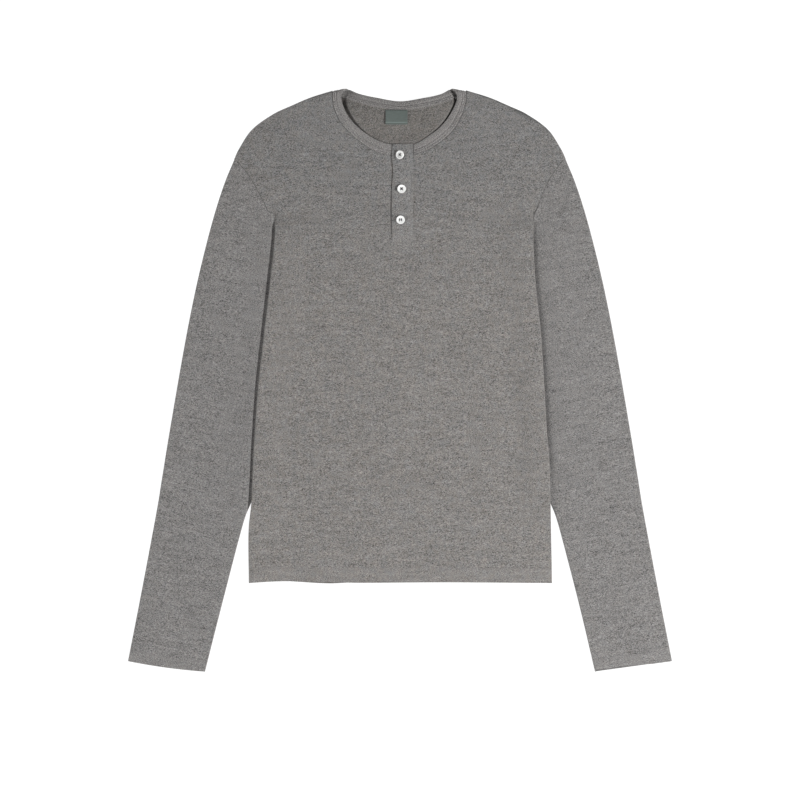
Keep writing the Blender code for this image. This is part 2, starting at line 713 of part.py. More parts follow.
def build():
    clear_scene()
    shirt = new_collection("henley_shirt")
    cutters = new_collection("cutters")
    jersey = material("heather grey jersey", (0.22, 0.21, 0.205), 0.95)
    rib = material("neckband jersey", (0.23, 0.22, 0.215), 0.95)
    shell = material("white button", (0.86, 0.86, 0.84), 0.35)
    woven = material("woven label", (0.05, 0.075, 0.08), 0.8)

    body_panel("back", -1, back_neckline(), "back", jersey, shirt)
    front = body_panel("front", 1, front_neckline(), "front", jersey, shirt)
    top_corner = (NOTCH[1], PLACKET_ROWS[-1].y + NOTCH_CUT[0], NOTCH_CUT[1])
    cut(front, box("placket_notch", (NOTCH[0], NOTCH_END, 0.0), top_corner, cutters), "Placket notch")
    sleeve("sleeve_right", -1, jersey, shirt)
    sleeve("sleeve_left", 1, jersey, shirt)
    neckband(rib, shirt)
    surface = plackets(rib, shirt)
    label(woven, shirt)
    buttons(surface, shell, shirt, cutters)


build()
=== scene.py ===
"""Looks of the henley shirt, laid flat on its back with the front up.

Metres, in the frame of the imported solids: +X to the wearer's left, +Y towards the neck, +Z up.
Each cloth piece is a thin shell on its solid's form, with its hems, seams, stitches and creases.
"""

import math
from bisect import bisect_right
from collections import namedtuple

import bmesh
import bpy
from mathutils import Matrix, Vector, noise
from mathutils.kdtree import KDTree


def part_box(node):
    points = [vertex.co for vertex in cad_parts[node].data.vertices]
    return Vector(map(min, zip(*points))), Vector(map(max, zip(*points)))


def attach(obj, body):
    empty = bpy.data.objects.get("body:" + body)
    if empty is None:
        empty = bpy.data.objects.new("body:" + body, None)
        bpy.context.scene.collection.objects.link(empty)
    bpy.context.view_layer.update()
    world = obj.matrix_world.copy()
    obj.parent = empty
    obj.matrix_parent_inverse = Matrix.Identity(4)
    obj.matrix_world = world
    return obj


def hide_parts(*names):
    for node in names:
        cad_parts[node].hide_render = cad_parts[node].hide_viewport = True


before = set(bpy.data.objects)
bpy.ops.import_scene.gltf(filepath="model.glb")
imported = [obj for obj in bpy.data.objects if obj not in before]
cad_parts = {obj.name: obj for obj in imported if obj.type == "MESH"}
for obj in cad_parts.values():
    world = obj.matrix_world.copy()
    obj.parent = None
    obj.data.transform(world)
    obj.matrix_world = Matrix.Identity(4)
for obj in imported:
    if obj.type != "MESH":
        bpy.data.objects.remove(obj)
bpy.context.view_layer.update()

# Cloth
JERSEY = 0.0012
BAND = 0.0018
PLACKET = 0.0012
LABEL = 0.0008
SEAM_GAP = 0.0003
SEAM_TUCK = (0.0001, 0.0004)  # how far the sleeve is sewn under the body, at the underarm and above
SEAM_TUCK_REACH = (0.15, 0.5)  # how far up the armhole it changes from the one to the other
EDGE_GAP = 0.0006
AIR = 0.0009  # between the two layers

# Layers, as heights of the middle of the cloth
LOWER = JERSEY / 2
LAYER_STEP = JERSEY + AIR
UPPER = LOWER + LAYER_STEP

# The body rides over the sleeves' underarm edges
TUCK_LIFT = LAYER_STEP + JERSEY + SEAM_GAP
LIFT_FULL = 0.014
LIFT_END = 0.046
LIFT_TOP = (0.204, 0.226)
LIFT_BOTTOM = (-0.204, -0.168)

# The sleeves stand up in a soft roll beside the body: distances outward from the body's edge.
# The wearer's right sleeve first sinks into a groove. The left one slopes down to the body.
# Each of the roll and the groove starts, is full, is full still, and ends.
ROLL = (-0.0010, 0.0018, 0.008, 0.050)
GROOVE = (0.0, 0.0003, 0.0032, 0.0072)
SLOPE_HEIGHT = 0.0027
SLOPE_RISE = 0.0165
SLOPE_FALL = (0.018, 0.070)
SLOPE_ENDS = (-0.150, -0.090, 0.185, 0.222)  # y where it ends, is full, is full still, and ends

# The front stands off the back at the neck's two high points
NECK_RISE = 0.0036
NECK_RISE_REACH = 0.090

# Inside the neck the back stands up a little, more towards the shoulders.
# A trough runs beside the front's edge.
INNER_RISE = (0.0022, 0.0046)  # at the bottom of the opening and near the shoulders
INNER_RISE_Y = (0.332, 0.366)
OPENING_POINTS = 800  # that the distance from the front's edge is measured from
TROUGH_START = 0.0004
TROUGH_LOW = 0.0019  # its width at the bottom of the opening, and near the shoulders on each side
TROUGH_RIGHT = 0.0082
TROUGH_LEFT = 0.0046
CORNER_X = (0.054, 0.072)  # the rise dies out towards the ends of the back's neckline
CORNER_Y = (0.374, 0.392)

# Hems: depth of the turned cloth, how far it stands up, and its two rows of stitches
HEM_DEPTH = 0.0196
HEM_ROWS = (0.0160, 0.0190)
CUFF_DEPTH = 0.0152
CUFF_ROWS = (0.0118, 0.0146)
HEM_RISE = 0.00035
HEM_SOFT = 0.0014
HEM_FOLLOW = (0.02, 0.08)  # rows above the hem follow its line less and less

# Side edges of the body, hem to underarm. left is the one at -X, on the wearer's right.
# Beside it the sleeve stands up by roll and sinks by groove.
SideRow = namedtuple("SideRow", "y left right roll groove")
SIDES = (
    SideRow(-0.2750, -0.2055, 0.2067, 0.0, 0.0),
    SideRow(-0.2030, -0.2058, 0.2053, 0.0, 0.0),
    SideRow(-0.1670, -0.2019, 0.2044, 0.0017, 0.0),
    SideRow(-0.1000, -0.1985, 0.2022, 0.0018, 0.0),
    SideRow(-0.0670, -0.1966, 0.1992, 0.0016, 0.0),
    SideRow(0.0010, -0.1912, 0.1954, 0.0009, 0.0003),
    SideRow(0.0690, -0.1833, 0.1908, 0.0005, 0.0007),
    SideRow(0.1240, -0.1771, 0.1848, 0.0004, 0.0008),
    SideRow(0.1750, -0.1712, 0.1814, 0.0004, 0.0008),
    SideRow(0.2050, -0.1694, 0.1810, 0.0014, 0.0002),
    SideRow(0.2260, -0.1700, 0.1822, 0.0, 0.0),
)
UNDERARM = SIDES[-1]

# Hem of the front and of the back, which shows a little below it
HemRow = namedtuple("HemRow", "x front back")
HEM = (
    HemRow(-0.2055, -0.2752, -0.2752),
    HemRow(-0.1630, -0.2728, -0.2726),
    HemRow(-0.0980, -0.2735, -0.2758),
    HemRow(-0.0600, -0.2748, -0.2744),
    HemRow(0.0600, -0.2742, -0.2742),
    HemRow(0.2067, -0.2752, -0.2752),
)

# Armhole seams, underarm to shoulder tip
ArmholeRow = namedtuple("ArmholeRow", "left_x left_y right_x right_y")
ARMHOLE = (
    ArmholeRow(UNDERARM.left, UNDERARM.y, UNDERARM.right, UNDERARM.y),
    ArmholeRow(-0.1790, 0.2295, 0.1866, 0.2330),
    ArmholeRow(-0.1855, 0.2420, 0.1915, 0.2470),
    ArmholeRow(-0.1935, 0.2570, 0.1988, 0.2640),
    ArmholeRow(-0.2075, 0.2805, 0.2085, 0.2815),
    ArmholeRow(-0.2252, 0.3010, 0.2249, 0.3020),
)

# Shoulder line, tip to neck, as half widths
ShoulderRow = namedtuple("ShoulderRow", "half y")
SHOULDER = (
    ShoulderRow(0.2250, 0.3015),
    ShoulderRow(0.2195, 0.3135),
    ShoulderRow(0.2013, 0.3407),
    ShoulderRow(0.1714, 0.3624),
    ShoulderRow(0.1475, 0.3733),
    ShoulderRow(0.1218, 0.3842),
    ShoulderRow(0.0890, 0.3943),
)
NECK_POINT = SHOULDER[-1]

# Sleeves, armhole to cuff: outer edge as half width, underarm edge on each side
SleeveRow = namedtuple("SleeveRow", "outer_half outer_y inner_y inner_left inner_right")
SLEEVE = (
    SleeveRow(0.2380, 0.2700, 0.2130, -0.1690, 0.1806),
    SleeveRow(0.2510, 0.2300, 0.1960, -0.1670, 0.1782),
    SleeveRow(0.2650, 0.1780, 0.1560, -0.1650, 0.1750),
    SleeveRow(0.2790, 0.1180, 0.1000, -0.1690, 0.1780),
    SleeveRow(0.2940, 0.0415, 0.0240, -0.1790, 0.1850),
    SleeveRow(0.3128, -0.0673, -0.0860, -0.1915, 0.1955),
    SleeveRow(0.3240, -0.1360, -0.1545, -0.1992, 0.2014),
    SleeveRow(0.3305, -0.1761, -0.1940, -0.2130, 0.2146),
    SleeveRow(0.3509, -0.2849, -0.3020, -0.2413, 0.2428),
    SleeveRow(0.3697, -0.3812, -0.3955, -0.2650, 0.2650),
)
CUFF_PLACE = len(SLEEVE)  # rows are counted from the armhole, 0, to the cuff
CUFF_ROW_LENGTH = 0.098  # from the last row but one to the cuff
CUFF_BOW = 0.0017  # how far the cuff on the wearer's right bows out
CUFF_PEEK = 0.0026  # how far the upper layer of the other cuff lies back from the lower one, and where
CUFF_PEEK_ENDS = (0.0, 0.05, 0.45, 0.75)
CUFF_PEEK_ROWS = 0.5  # the rows over which it is eased in

# Neckline: the band's free edge and its seam, from the placket up to each neck point, and across the back
NeckRow = namedtuple("NeckRow", "free_x free_y seam_x seam_y")
NECK_RIGHT_FRONT = (
    NeckRow(-0.0116, 0.3211, -0.0116, 0.3056),
    NeckRow(-0.0220, 0.3229, -0.0265, 0.3085),
    NeckRow(-0.0356, 0.3287, -0.0422, 0.3159),
    NeckRow(-0.0492, 0.3373, -0.0576, 0.3268),
    NeckRow(-0.0628, 0.3491, -0.0725, 0.3403),
    NeckRow(-0.0721, 0.3611, -0.0832, 0.3547),
    NeckRow(-0.0782, 0.3747, -0.0900, 0.3709),
    NeckRow(-0.0800, 0.3860, -0.0920, 0.3860),
)
NECK_LEFT_FRONT = (
    NeckRow(0.0183, 0.3206, 0.0183, 0.3066),
    NeckRow(0.0270, 0.3243, 0.0325, 0.3115),
    NeckRow(0.0354, 0.3298, 0.0437, 0.3165),
    NeckRow(0.0510, 0.3407, 0.0608, 0.3288),
    NeckRow(0.0626, 0.3529, 0.0746, 0.3430),
    NeckRow(0.0714, 0.3665, 0.0838, 0.3602),
    NeckRow(0.0768, 0.3790, 0.0889, 0.3760),
    NeckRow(0.0775, 0.3860, 0.0898, 0.3860),
)
NECK_BACK = (
    NeckRow(-0.0680, 0.3945, -0.0765, 0.3842),
    NeckRow(-0.0544, 0.3884, -0.0575, 0.3782),
    NeckRow(-0.0313, 0.3834, -0.0330, 0.3719),
    NeckRow(0.0000, 0.3786, 0.0000, 0.3671),
    NeckRow(0.0313, 0.3830, 0.0330, 0.3712),
    NeckRow(0.0544, 0.3880, 0.0575, 0.3772),
    NeckRow(0.0665, 0.3945, 0.0750, 0.3836),
)

# The band turns over at the neck points: x of its free edge and of its seam on each side, and how far
# each of them travels towards the back's own while it turns
FOLD_Y = 0.3913
FOLD_RIGHT = (-0.0790, -0.0920)
FOLD_LEFT = (0.0757, 0.0898)
FOLD_TRAVEL = (0.95, 0.5)
FOLD_TURN = 15  # degrees from one line of points to the next

# Across the neckband, from its seam to its free edge: how far the cloth stands off its middle.
# It dips at the two rows of stitches and swells between them.
BandRow = namedtuple("BandRow", "across stand_off")
BAND_ROWS = (
    BandRow(0.00, -0.00120),
    BandRow(0.05, -0.00060),
    BandRow(0.11, 0.00010),
    BandRow(0.17, 0.0),
    BandRow(0.22, -0.00040),
    BandRow(0.27, 0.00005),
    BandRow(0.33, 0.00018),
    BandRow(0.39, -0.00005),
    BandRow(0.44, -0.00045),
    BandRow(0.49, 0.00005),
    BandRow(0.60, 0.00025),
    BandRow(0.78, 0.00030),
    BandRow(0.92, 0.00012),
    BandRow(1.00, -0.00010),
)
BAND_STITCHES = (0.22, 0.44)
BAND_STITCH_SINK = 0.0002  # into the band round the front
BACK_NECK_SEAM = -0.07  # where the pale thread runs, across the band

# Placket, neck to lower end: the open edge waves a little
PlacketRow = namedtuple("PlacketRow", "y open_edge")
PLACKET_ROWS = (
    PlacketRow(0.1880, -0.0109),
    PlacketRow(0.2050, -0.0109),
    PlacketRow(0.2250, -0.0112),
    PlacketRow(0.2650, -0.0107),
    PlacketRow(0.2860, -0.0092),
    PlacketRow(0.3060, -0.0114),
    PlacketRow(0.3212, -0.0101),
)
PLACKET_SEWN_EDGE = 0.0178
PLACKET_SLOPE = 0.0085  # x where it starts to slope down to its sewn edge
PLACKET_LEVEL = 0.0052  # its upper face, under the buttons
PLACKET_SEWN_LEVEL = 0.0034  # its upper face along the sewn edge and the lower end
PLACKET_LIP = (0.0008, 0.006)  # how far it bends down to its open edge, and over what width
PLACKET_END_SLOPE = (0.1880, 0.2070)
PLACKET_STITCH_IN = 0.0016  # stitches, in from the sewn edge
NOTCH = (-0.0107, 0.0168)  # x of the notch in the front under the placket
NOTCH_END = 0.1892
NOTCH_CLEAR = 0.02  # how far the cut reaches past the neckline, and how deep it is
SLIT_DIP = 0.0003  # how far the cloth beside the slit sinks
SLIT_DIP_REACH = 0.012

# Buttons
BUTTON_RADIUS = 0.00575
BUTTON_HEIGHT = 0.0021
BUTTON_RIM = 0.0012
BUTTON_DISH = 0.0006
BUTTON_SOFT = 0.00045
BUTTON_SHARP = 30  # degrees: edges that turn more than this are softened
BUTTON_SMOOTH = 35  # and edges that turn less than this are shaded as round
BUTTON_SIDES = 48
HOLE_SIDES = 20
HOLE_DRILL = 0.01  # longer than the button is thick
HOLE_RADIUS = 0.00085
HOLE_SPREAD = 0.0018
ButtonRow = namedtuple("ButtonRow", "x y base tilt")  # tilt: its edge on the wearer's left is up, in degrees
BUTTONS = (
    ButtonRow(0.0003, 0.3060, 0.00782, 28),
    ButtonRow(0.0022, 0.2600, 0.0055, 0),
    ButtonRow(0.0008, 0.2180, 0.0055, 0),
)

# Threads of the buttons and their holes
THREAD = 0.00024  # half its thickness
THREAD_LANE = 1.9  # from one strand to the next, in half thicknesses
THREAD_DEPTH = 0.0012  # how far its ends go down into the holes
THREAD_CROSSING = 0.00035  # how much higher the upper one of two crossed stitches runs
THREAD_SHOULDER = 0.35  # the smaller, the more squarely it turns down into a hole
BUTTONHOLE_BELOW = 0.0060
BUTTONHOLE_ABOVE = 0.0066
BUTTONHOLE_PITCH = 0.0006
BUTTONHOLE_BAR = (0.00018, 0.00105)  # where each of its stitches starts and ends, from the slit
BUTTONHOLE_SINK = 0.0001
BUTTONHOLE_RISE = 0.00018

# Neck label
LABEL_SIZE = (0.0298, 0.0200)
LABEL_CENTRE = (-0.0047, 0.3573)
LABEL_FOLD = 0.0030  # fold line, up from its lower edge
LABEL_FOLD_DENT = 0.00022
LABEL_FOLD_WIDTH = 0.0006
LABEL_CURL = 0.0011

# How finely the sheets are divided
CHEST_COLUMNS = 87
ARMHOLE_STEPS = 24
FRONT_RINGS = 38  # from the neckline to the armholes and the chest line
BACK_RINGS = (62, 20)  # in the part that shows inside the neck, and beyond it
BACK_RINGS_SHOWN = 0.44
BAND_STEPS = 66
BACK_NECK_STEPS = 131
BODY_ROW = 0.0048  # from one row to the next
SLEEVE_STEP = 0.07  # the same along a sleeve, in rows of its table
ROUND_ANGLES = (0, 18, 36, 54, 72, 90)
# Rows over a hem, closer together at its stitches
HEM_BAND = (0.0, 0.0015, 0.005, 0.010, 0.0145, 0.0160, 0.0175, 0.0190, 0.0202, 0.0215, 0.0240)
CUFF_BAND = (0.0, 0.0012, 0.004, 0.008, 0.0105, 0.0118, 0.0132, 0.0146, 0.0158, 0.0172, 0.0200)
# Columns across a sleeve's upper layer, beside the body, from there to the outer edge, and below
SLEEVE_OUT = (
    0.0, 0.0005, 0.001, 0.0015, 0.002, 0.0027, 0.004, 0.006, 0.009, 0.014, 0.020, 0.030, 0.040, 0.050,
)
SLEEVE_BEYOND = 18
SLEEVE_UNDER = 16
PLACKET_STEPS = (18, 60)  # across and along
UNDER_STEPS = (8, 40)
LABEL_STEPS = 24
LEAST_LEAN = 0.3  # keeps a turned edge from stepping far in where it runs aslant
BOW_ROWS = 2.6  # rows over which a sleeve loses the armhole's bow
BLEND_ROWS = 1.5  # and takes up the columns that lie close together beside the body
SLEEVE_EDGE_CLEAR = 0.0005  # from a sleeve's turned edge to its first column
WELD = 0.000002  # points closer than this become one
SHARP_EDGE = 60  # degrees: only edges that turn more than this are softened

# Creases of the front and of the sleeves: the line that each follows, its half width and its height.
# A trough has a height below zero.
Crease = namedtuple("Crease", "start_x start_y end_x end_y width height")
CREASE_ENDS = (-0.2, 0.25, 0.75, 1.2)  # how a crease comes in and dies out, in its own lengths
FRONT_CREASES = (
    Crease(-0.037, -0.137, 0.052, -0.146, 0.0045, -0.00040),
    Crease(-0.030, -0.149, 0.048, -0.156, 0.0050, 0.00035),
    Crease(0.095, -0.020, 0.103, -0.125, 0.0060, -0.00025),
    Crease(0.128, 0.000, 0.133, -0.110, 0.0055, -0.00030),
    Crease(0.160, 0.020, 0.168, -0.085, 0.0060, -0.00030),
    Crease(-0.150, 0.235, -0.090, 0.205, 0.0080, -0.00030),
    Crease(0.150, 0.245, 0.105, 0.215, 0.0080, -0.00025),
    Crease(-0.060, 0.300, -0.100, 0.255, 0.0090, -0.00025),
    Crease(0.060, 0.302, 0.098, 0.262, 0.0090, -0.00025),
    Crease(0.1815, 0.2170, 0.1835, 0.2490, 0.0030, -0.00130),
    Crease(0.1862, 0.2250, 0.1885, 0.2500, 0.0030, 0.00100),
    Crease(-0.1708, 0.2190, -0.1732, 0.2480, 0.0024, -0.00120),
    Crease(0.1860, 0.2300, 0.1950, 0.2600, 0.0030, -0.00080),
)
SLEEVE_CREASES = (
    Crease(0.1860, 0.2300, 0.1950, 0.2600, 0.0030, -0.00080),
    Crease(0.1862, 0.2250, 0.1885, 0.2500, 0.0030, 0.00100),
    Crease(0.2000, 0.2520, 0.2030, 0.2110, 0.0036, -0.00150),
    Crease(0.2060, 0.2450, 0.2085, 0.2130, 0.0036, 0.00090),
    Crease(0.2030, 0.2110, 0.2075, 0.1890, 0.0036, -0.00110),
    Crease(0.2230, 0.2620, 0.2225, 0.2330, 0.0050, -0.00110),
    Crease(-0.2150, 0.2600, -0.1950, 0.2200, 0.0060, -0.00060),
    Crease(-0.2600, 0.0900, -0.2080, 0.0560, 0.0080, -0.00035),
    Crease(0.2620, 0.0600, 0.2180, 0.0250, 0.0080, -0.00035),
)
SWELL_SCALE = 34.0  # waves of the resting cloth to a metre
SWELL = 0.00028
BODY_SWELL = 1.0  # which pattern of it a layer takes
SLEEVE_SWELL = {-1: 1.0, 1: 3.0}


# Curves

def plan(x, y):
    return Vector((x, y))


def smoothstep(start, end, value):
    t = min(max((value - start) / (end - start), 0.0), 1.0)
    return t * t * (3 - 2 * t)


def window(ends, value):
    """Rises from 0 to 1 between the first two ends and falls again between the last two."""
    return smoothstep(*ends[:2], value) * (1 - smoothstep(*ends[2:], value))


def smooth_curve(keys, values):
    """A smooth curve through values at rising keys."""
    last = len(keys) - 1
    slopes = []
    for k in range(last + 1):
        before, after = max(k - 1, 0), min(k + 1, last)
        slopes.append((values[after] - values[before]) / (keys[after] - keys[before]))

    def read(at):
        at = min(max(at, keys[0]), keys[-1])
        i = min(max(bisect_right(keys, at) - 1, 0), last - 1)
        span = keys[i + 1] - keys[i]
        t = (at - keys[i]) / span
        return (
            values[i] * (2 * t**3 - 3 * t**2 + 1)
            + slopes[i] * span * (t**3 - 2 * t**2 + t)
            + values[i + 1] * (3 * t**2 - 2 * t**3)
            + slopes[i + 1] * span * (t**3 - t**2)
        )

    return read


def table_curve(rows, key, column):
    pairs = sorted((getattr(row, key), getattr(row, column)) for row in rows)
    return smooth_curve([place for place, value in pairs], [value for place, value in pairs])


def lengths_along(points):
    """How far along a path each of its points lies."""
    lengths = [0.0]
    for before, after in zip(points, points[1:]):
        lengths.append(lengths[-1] + (after - before).length)
    return lengths


def way_at(points, i):
    """Which way a path runs at one of its points."""
    return points[min(i + 1, len(points) - 1)] - points[max(i - 1, 0)]


def path_curve(points):
    """A smooth path, read at a fraction of its length."""
    lengths = lengths_along(points)
    return smooth_curve([length / lengths[-1] for length in lengths], points)


def evenly(count):
    return [i / count for i in range(count + 1)]


LEFT_EDGE = table_curve(SIDES, "y", "left")
RIGHT_EDGE = table_curve(SIDES, "y", "right")
ROLL_HEIGHT = table_curve(SIDES, "y", "roll")
GROOVE_DEPTH = table_curve(SIDES, "y", "groove")
SHOULDER_Y = table_curve(SHOULDER, "half", "y")
FRONT_HEM = table_curve(HEM, "x", "front")
BACK_HEM = table_curve(HEM, "x", "back")
SLIT_EDGE = table_curve(PLACKET_ROWS, "y", "open_edge")
ARMHOLE_PATH = {
    -1: path_curve([plan(row.left_x, row.left_y) for row in ARMHOLE]),
    1: path_curve([plan(row.right_x, row.right_y) for row in ARMHOLE]),
}


def sleeve_ends(side):
    """The outer and the underarm edge of a sleeve, read at a row's place."""
    column = "inner_left" if side < 0 else "inner_right"
    outer = [ARMHOLE_PATH[side](1.0)] + [plan(side * row.outer_half, row.outer_y) for row in SLEEVE]
    inner = [ARMHOLE_PATH[side](0.0) + plan(side * JERSEY, 0.0)]
    inner += [plan(getattr(row, column), row.inner_y) for row in SLEEVE]
    places = list(range(CUFF_PLACE + 1))
    return smooth_curve(places, outer), smooth_curve(places, inner)


SLEEVE_ENDS = {-1: sleeve_ends(-1), 1: sleeve_ends(1)}


# Heights of the cloth

def crease_height(creases, x, y):
    total = 0.0
    for crease in creases:
        start = plan(crease.start_x, crease.start_y)
        line = plan(crease.end_x, crease.end_y) - start
        away = plan(x, y) - start
        along = away.dot(line) / line.length_squared
        if CREASE_ENDS[0] < along < CREASE_ENDS[-1]:
            across = away.cross(line) / line.length
            section = math.exp(-((across / crease.width) ** 2))
            total += crease.height * section * window(CREASE_ENDS, along)
    return total


def swell(x, y, layer):
    """The slight unevenness of cloth that lies at rest."""
    return SWELL * noise.noise(Vector((x * SWELL_SCALE, y * SWELL_SCALE, layer)))


def body_lift(x, y):
    """How far the body is raised where the sleeves are tucked under its sides."""
    if y >= UNDERARM.y:
        return 0.0
    inward = min(x - LEFT_EDGE(y), RIGHT_EDGE(y) - x)
    return TUCK_LIFT * window(LIFT_BOTTOM + LIFT_TOP, y) * (1 - smoothstep(LIFT_FULL, LIFT_END, inward))


def back_height(x, y):
    return LOWER + body_lift(x, y)


def front_height(x, y):
    from_neck_point = math.hypot(abs(x) - NECK_POINT.half, y - NECK_POINT.y)
    return UPPER + body_lift(x, y) + NECK_RISE * (1 - smoothstep(0.0, NECK_RISE_REACH, from_neck_point))


def slit_dip(x, y):
    """The cloth on the wearer's right sinks towards the slit of the placket."""
    if x > SLIT_EDGE(y) or y < PLACKET_ROWS[0].y:
        return 0.0
    beside = smoothstep(SLIT_EDGE(y) - SLIT_DIP_REACH, SLIT_EDGE(y), x)
    lower_end = smoothstep(PLACKET_ROWS[0].y, PLACKET_ROWS[1].y, y)
    return SLIT_DIP * beside**2 * lower_end


def hem_rise(above_hem, depth):
    return HEM_RISE * (1 - smoothstep(depth - HEM_SOFT, depth + HEM_SOFT, above_hem))


def edge_radius(x, y):
    return (front_height(x, y) - back_height(x, y) - EDGE_GAP) / 2


def round_steps(radius):
    return [radius * (1 - math.cos(math.radians(angle))) for angle in ROUND_ANGLES]


def turned_height(x, y, side, angle):
    """Middle of the front's cloth (side 1) or the back's (side -1), at an angle round its turned edge."""
    low, high = back_height(x, y), front_height(x, y)
    flat = high if side > 0 else low
    turned = (low + high) / 2 + side * (EDGE_GAP / 2 + edge_radius(x, y) * math.sin(math.radians(angle)))
    if y > UNDERARM.y:
        return turned
    return turned + (flat - turned) * smoothstep(LIFT_TOP[0], UNDERARM.y, y)


def front_surface(x, y, angle=90):
    """Middle of the front's cloth with its hem, creases and slit."""
    flat = smoothstep(0, 90, angle)
    relief = crease_height(FRONT_CREASES, x, y) + swell(x, y, BODY_SWELL)
    relief += hem_rise(y - FRONT_HEM(x), HEM_DEPTH)
    return turned_height(x, y, 1, angle) + max(relief, -AIR) * flat - slit_dip(x, y)


def opening_edge():
    """The front's free edge round the neck: a curve of y over x, and points to measure from."""
    rows = list(reversed(NECK_RIGHT_FRONT)) + list(NECK_LEFT_FRONT)
    free = [plan(row.free_x, row.free_y) for row in rows]
    path = path_curve(free)
    tree = KDTree(OPENING_POINTS + 1)
    for index, step in enumerate(evenly(OPENING_POINTS)):
        tree.insert((*path(step), 0.0), index)
    tree.balance()
    return smooth_curve([point.x for point in free], [point.y for point in free]), tree


OPENING_Y, OPENING_TREE = opening_edge()


def inner_rise(x, y):
    """How far the back stands up inside the neck opening."""
    if not NECK_RIGHT_FRONT[-1].free_x < x < NECK_LEFT_FRONT[-1].free_x or y < OPENING_Y(x):
        return 0.0
    upper = smoothstep(*INNER_RISE_Y, y)
    width = TROUGH_LOW + ((TROUGH_RIGHT if x < 0 else TROUGH_LEFT) - TROUGH_LOW) * upper
    away = smoothstep(TROUGH_START, width, OPENING_TREE.find((x, y, 0.0))[2])
    corner = smoothstep(*CORNER_X, abs(x)) * smoothstep(*CORNER_Y, y)
    return (INNER_RISE[0] + (INNER_RISE[1] - INNER_RISE[0]) * upper) * away * (1 - corner)


def back_surface(x, y, angle=90):
    return turned_height(x, y, -1, angle) + inner_rise(x, y)


# Making pieces

def deselect():
    bpy.ops.object.select_all(action="DESELECT")


def choose(piece):
    deselect()
    piece.select_set(True)
    bpy.context.view_layer.objects.active = piece


def apply_modifiers(piece):
    choose(piece)
    for modifier in list(piece.modifiers):
        bpy.ops.object.modifier_apply(modifier=modifier.name)


def add_piece(name, shape, finish):
    mesh = bpy.data.meshes.new(name)
    shape.to_mesh(mesh)
    shape.free()
    piece = bpy.data.objects.new(name, mesh)
    bpy.context.scene.collection.objects.link(piece)
    mesh.materials.append(finish)
    mesh.shade_smooth()
    return piece


def cloth(name, grids, wall, finish, closed=False, soften=0.3):
    """Grids of points joined into cloth of the given wall, with its edges softened."""
    shape = bmesh.new()
    for rows in grids:
        grid = [[shape.verts.new(point) for point in row] for row in rows]
        columns = len(rows[0])
        for lower, upper in zip(grid, grid[1:]):
            for i in range(columns if closed else columns - 1):
                j = (i + 1) % columns
                shape.faces.new((lower[i], lower[j], upper[j], upper[i]))
    bmesh.ops.remove_doubles(shape, verts=shape.verts, dist=WELD)
    bmesh.ops.recalc_face_normals(shape, faces=shape.faces)
    piece = add_piece(name, shape, finish)
    thickness = piece.modifiers.new("Cloth", "SOLIDIFY")
    thickness.thickness = wall
    thickness.offset = 0.0
    edges = piece.modifiers.new("Soft edges", "BEVEL")
    edges.width = wall * soften
    edges.segments = 2
    edges.limit_method = "ANGLE"
    edges.angle_limit = math.radians(SHARP_EDGE)
    apply_modifiers(piece)
    return piece


# Body

def set_back(points, distance):
    """A path of points moved to its right by a distance."""
    moved = []
    for i, point in enumerate(points):
        along = way_at(points, i)
        moved.append(point + plan(along.y, -along.x).normalized() * distance)
    return moved


def spread(rows, steps):
    """Free and seam points spread evenly along a stretch of the neckline."""
    keys = list(range(len(rows)))
    free = smooth_curve(keys, [plan(row.free_x, row.free_y) for row in rows])
    seam = smooth_curve(keys, [plan(row.seam_x, row.seam_y) for row in rows])
    last = len(rows) - 1
    return [(free(last * step), seam(last * step)) for step in evenly(steps)]


def fold_end(fold, back_row):
    """Free and seam points of the band where its fold reaches the back layer."""
    free = plan(fold[0], FOLD_Y).lerp(plan(back_row.free_x, back_row.free_y), FOLD_TRAVEL[0])
    seam = plan(fold[1], FOLD_Y).lerp(plan(back_row.seam_x, back_row.seam_y), FOLD_TRAVEL[1])
    return free, seam


def neck_point(seam_x):
    x = seam_x + math.copysign(SEAM_GAP, seam_x)
    return plan(x, SHOULDER_Y(abs(x)))


def front_neckline():
    seam = [point for free, point in reversed(spread(NECK_RIGHT_FRONT, BAND_STEPS))]
    seam += [point for free, point in spread(NECK_LEFT_FRONT, BAND_STEPS)]
    return [neck_point(FOLD_RIGHT[1])] + set_back(seam, SEAM_GAP) + [neck_point(FOLD_LEFT[1])]


def back_neckline():
    seam = [fold_end(FOLD_RIGHT, NECK_BACK[0])[1]]
    seam += [point for free, point in spread(NECK_BACK, BACK_NECK_STEPS)]
    seam += [fold_end(FOLD_LEFT, NECK_BACK[-1])[1]]
    return [neck_point(FOLD_RIGHT[1])] + set_back(seam, SEAM_GAP) + [neck_point(FOLD_LEFT[1])]


def turned_edge(edge, directions):
    """Columns of points just inside a rounded edge, from the outline inward."""
    columns = [[] for angle in ROUND_ANGLES]
    for i, (point, direction) in enumerate(zip(edge, directions)):
        along = way_at(edge, i)
        normal = plan(-along.y, along.x).normalized()
        lean = max(abs(direction.dot(normal)), LEAST_LEAN)
        for column, step in zip(columns, round_steps(edge_radius(*point))):
            column.append(point + direction * (JERSEY / 2 + step) / lean)
    return columns


def shoulder_columns(edge, neck_next, armhole_next):
    """The shoulder's turned edge. Its ends run along the neckline and along the armhole."""
    directions = []
    for i in range(len(edge)):
        along = way_at(edge, i)
        across = plan(-along.y, along.x).normalized()
        directions.append(across if across.y < 0 else -across)
    directions[0] = (neck_next - edge[0]).normalized()
    directions[-1] = (armhole_next - edge[-1]).normalized()
    return turned_edge(edge, directions)


def chest_row(y):
    left, right = LEFT_EDGE(y), RIGHT_EDGE(y)
    return [plan(left + (right - left) * stop, y) for stop in evenly(CHEST_COLUMNS)]


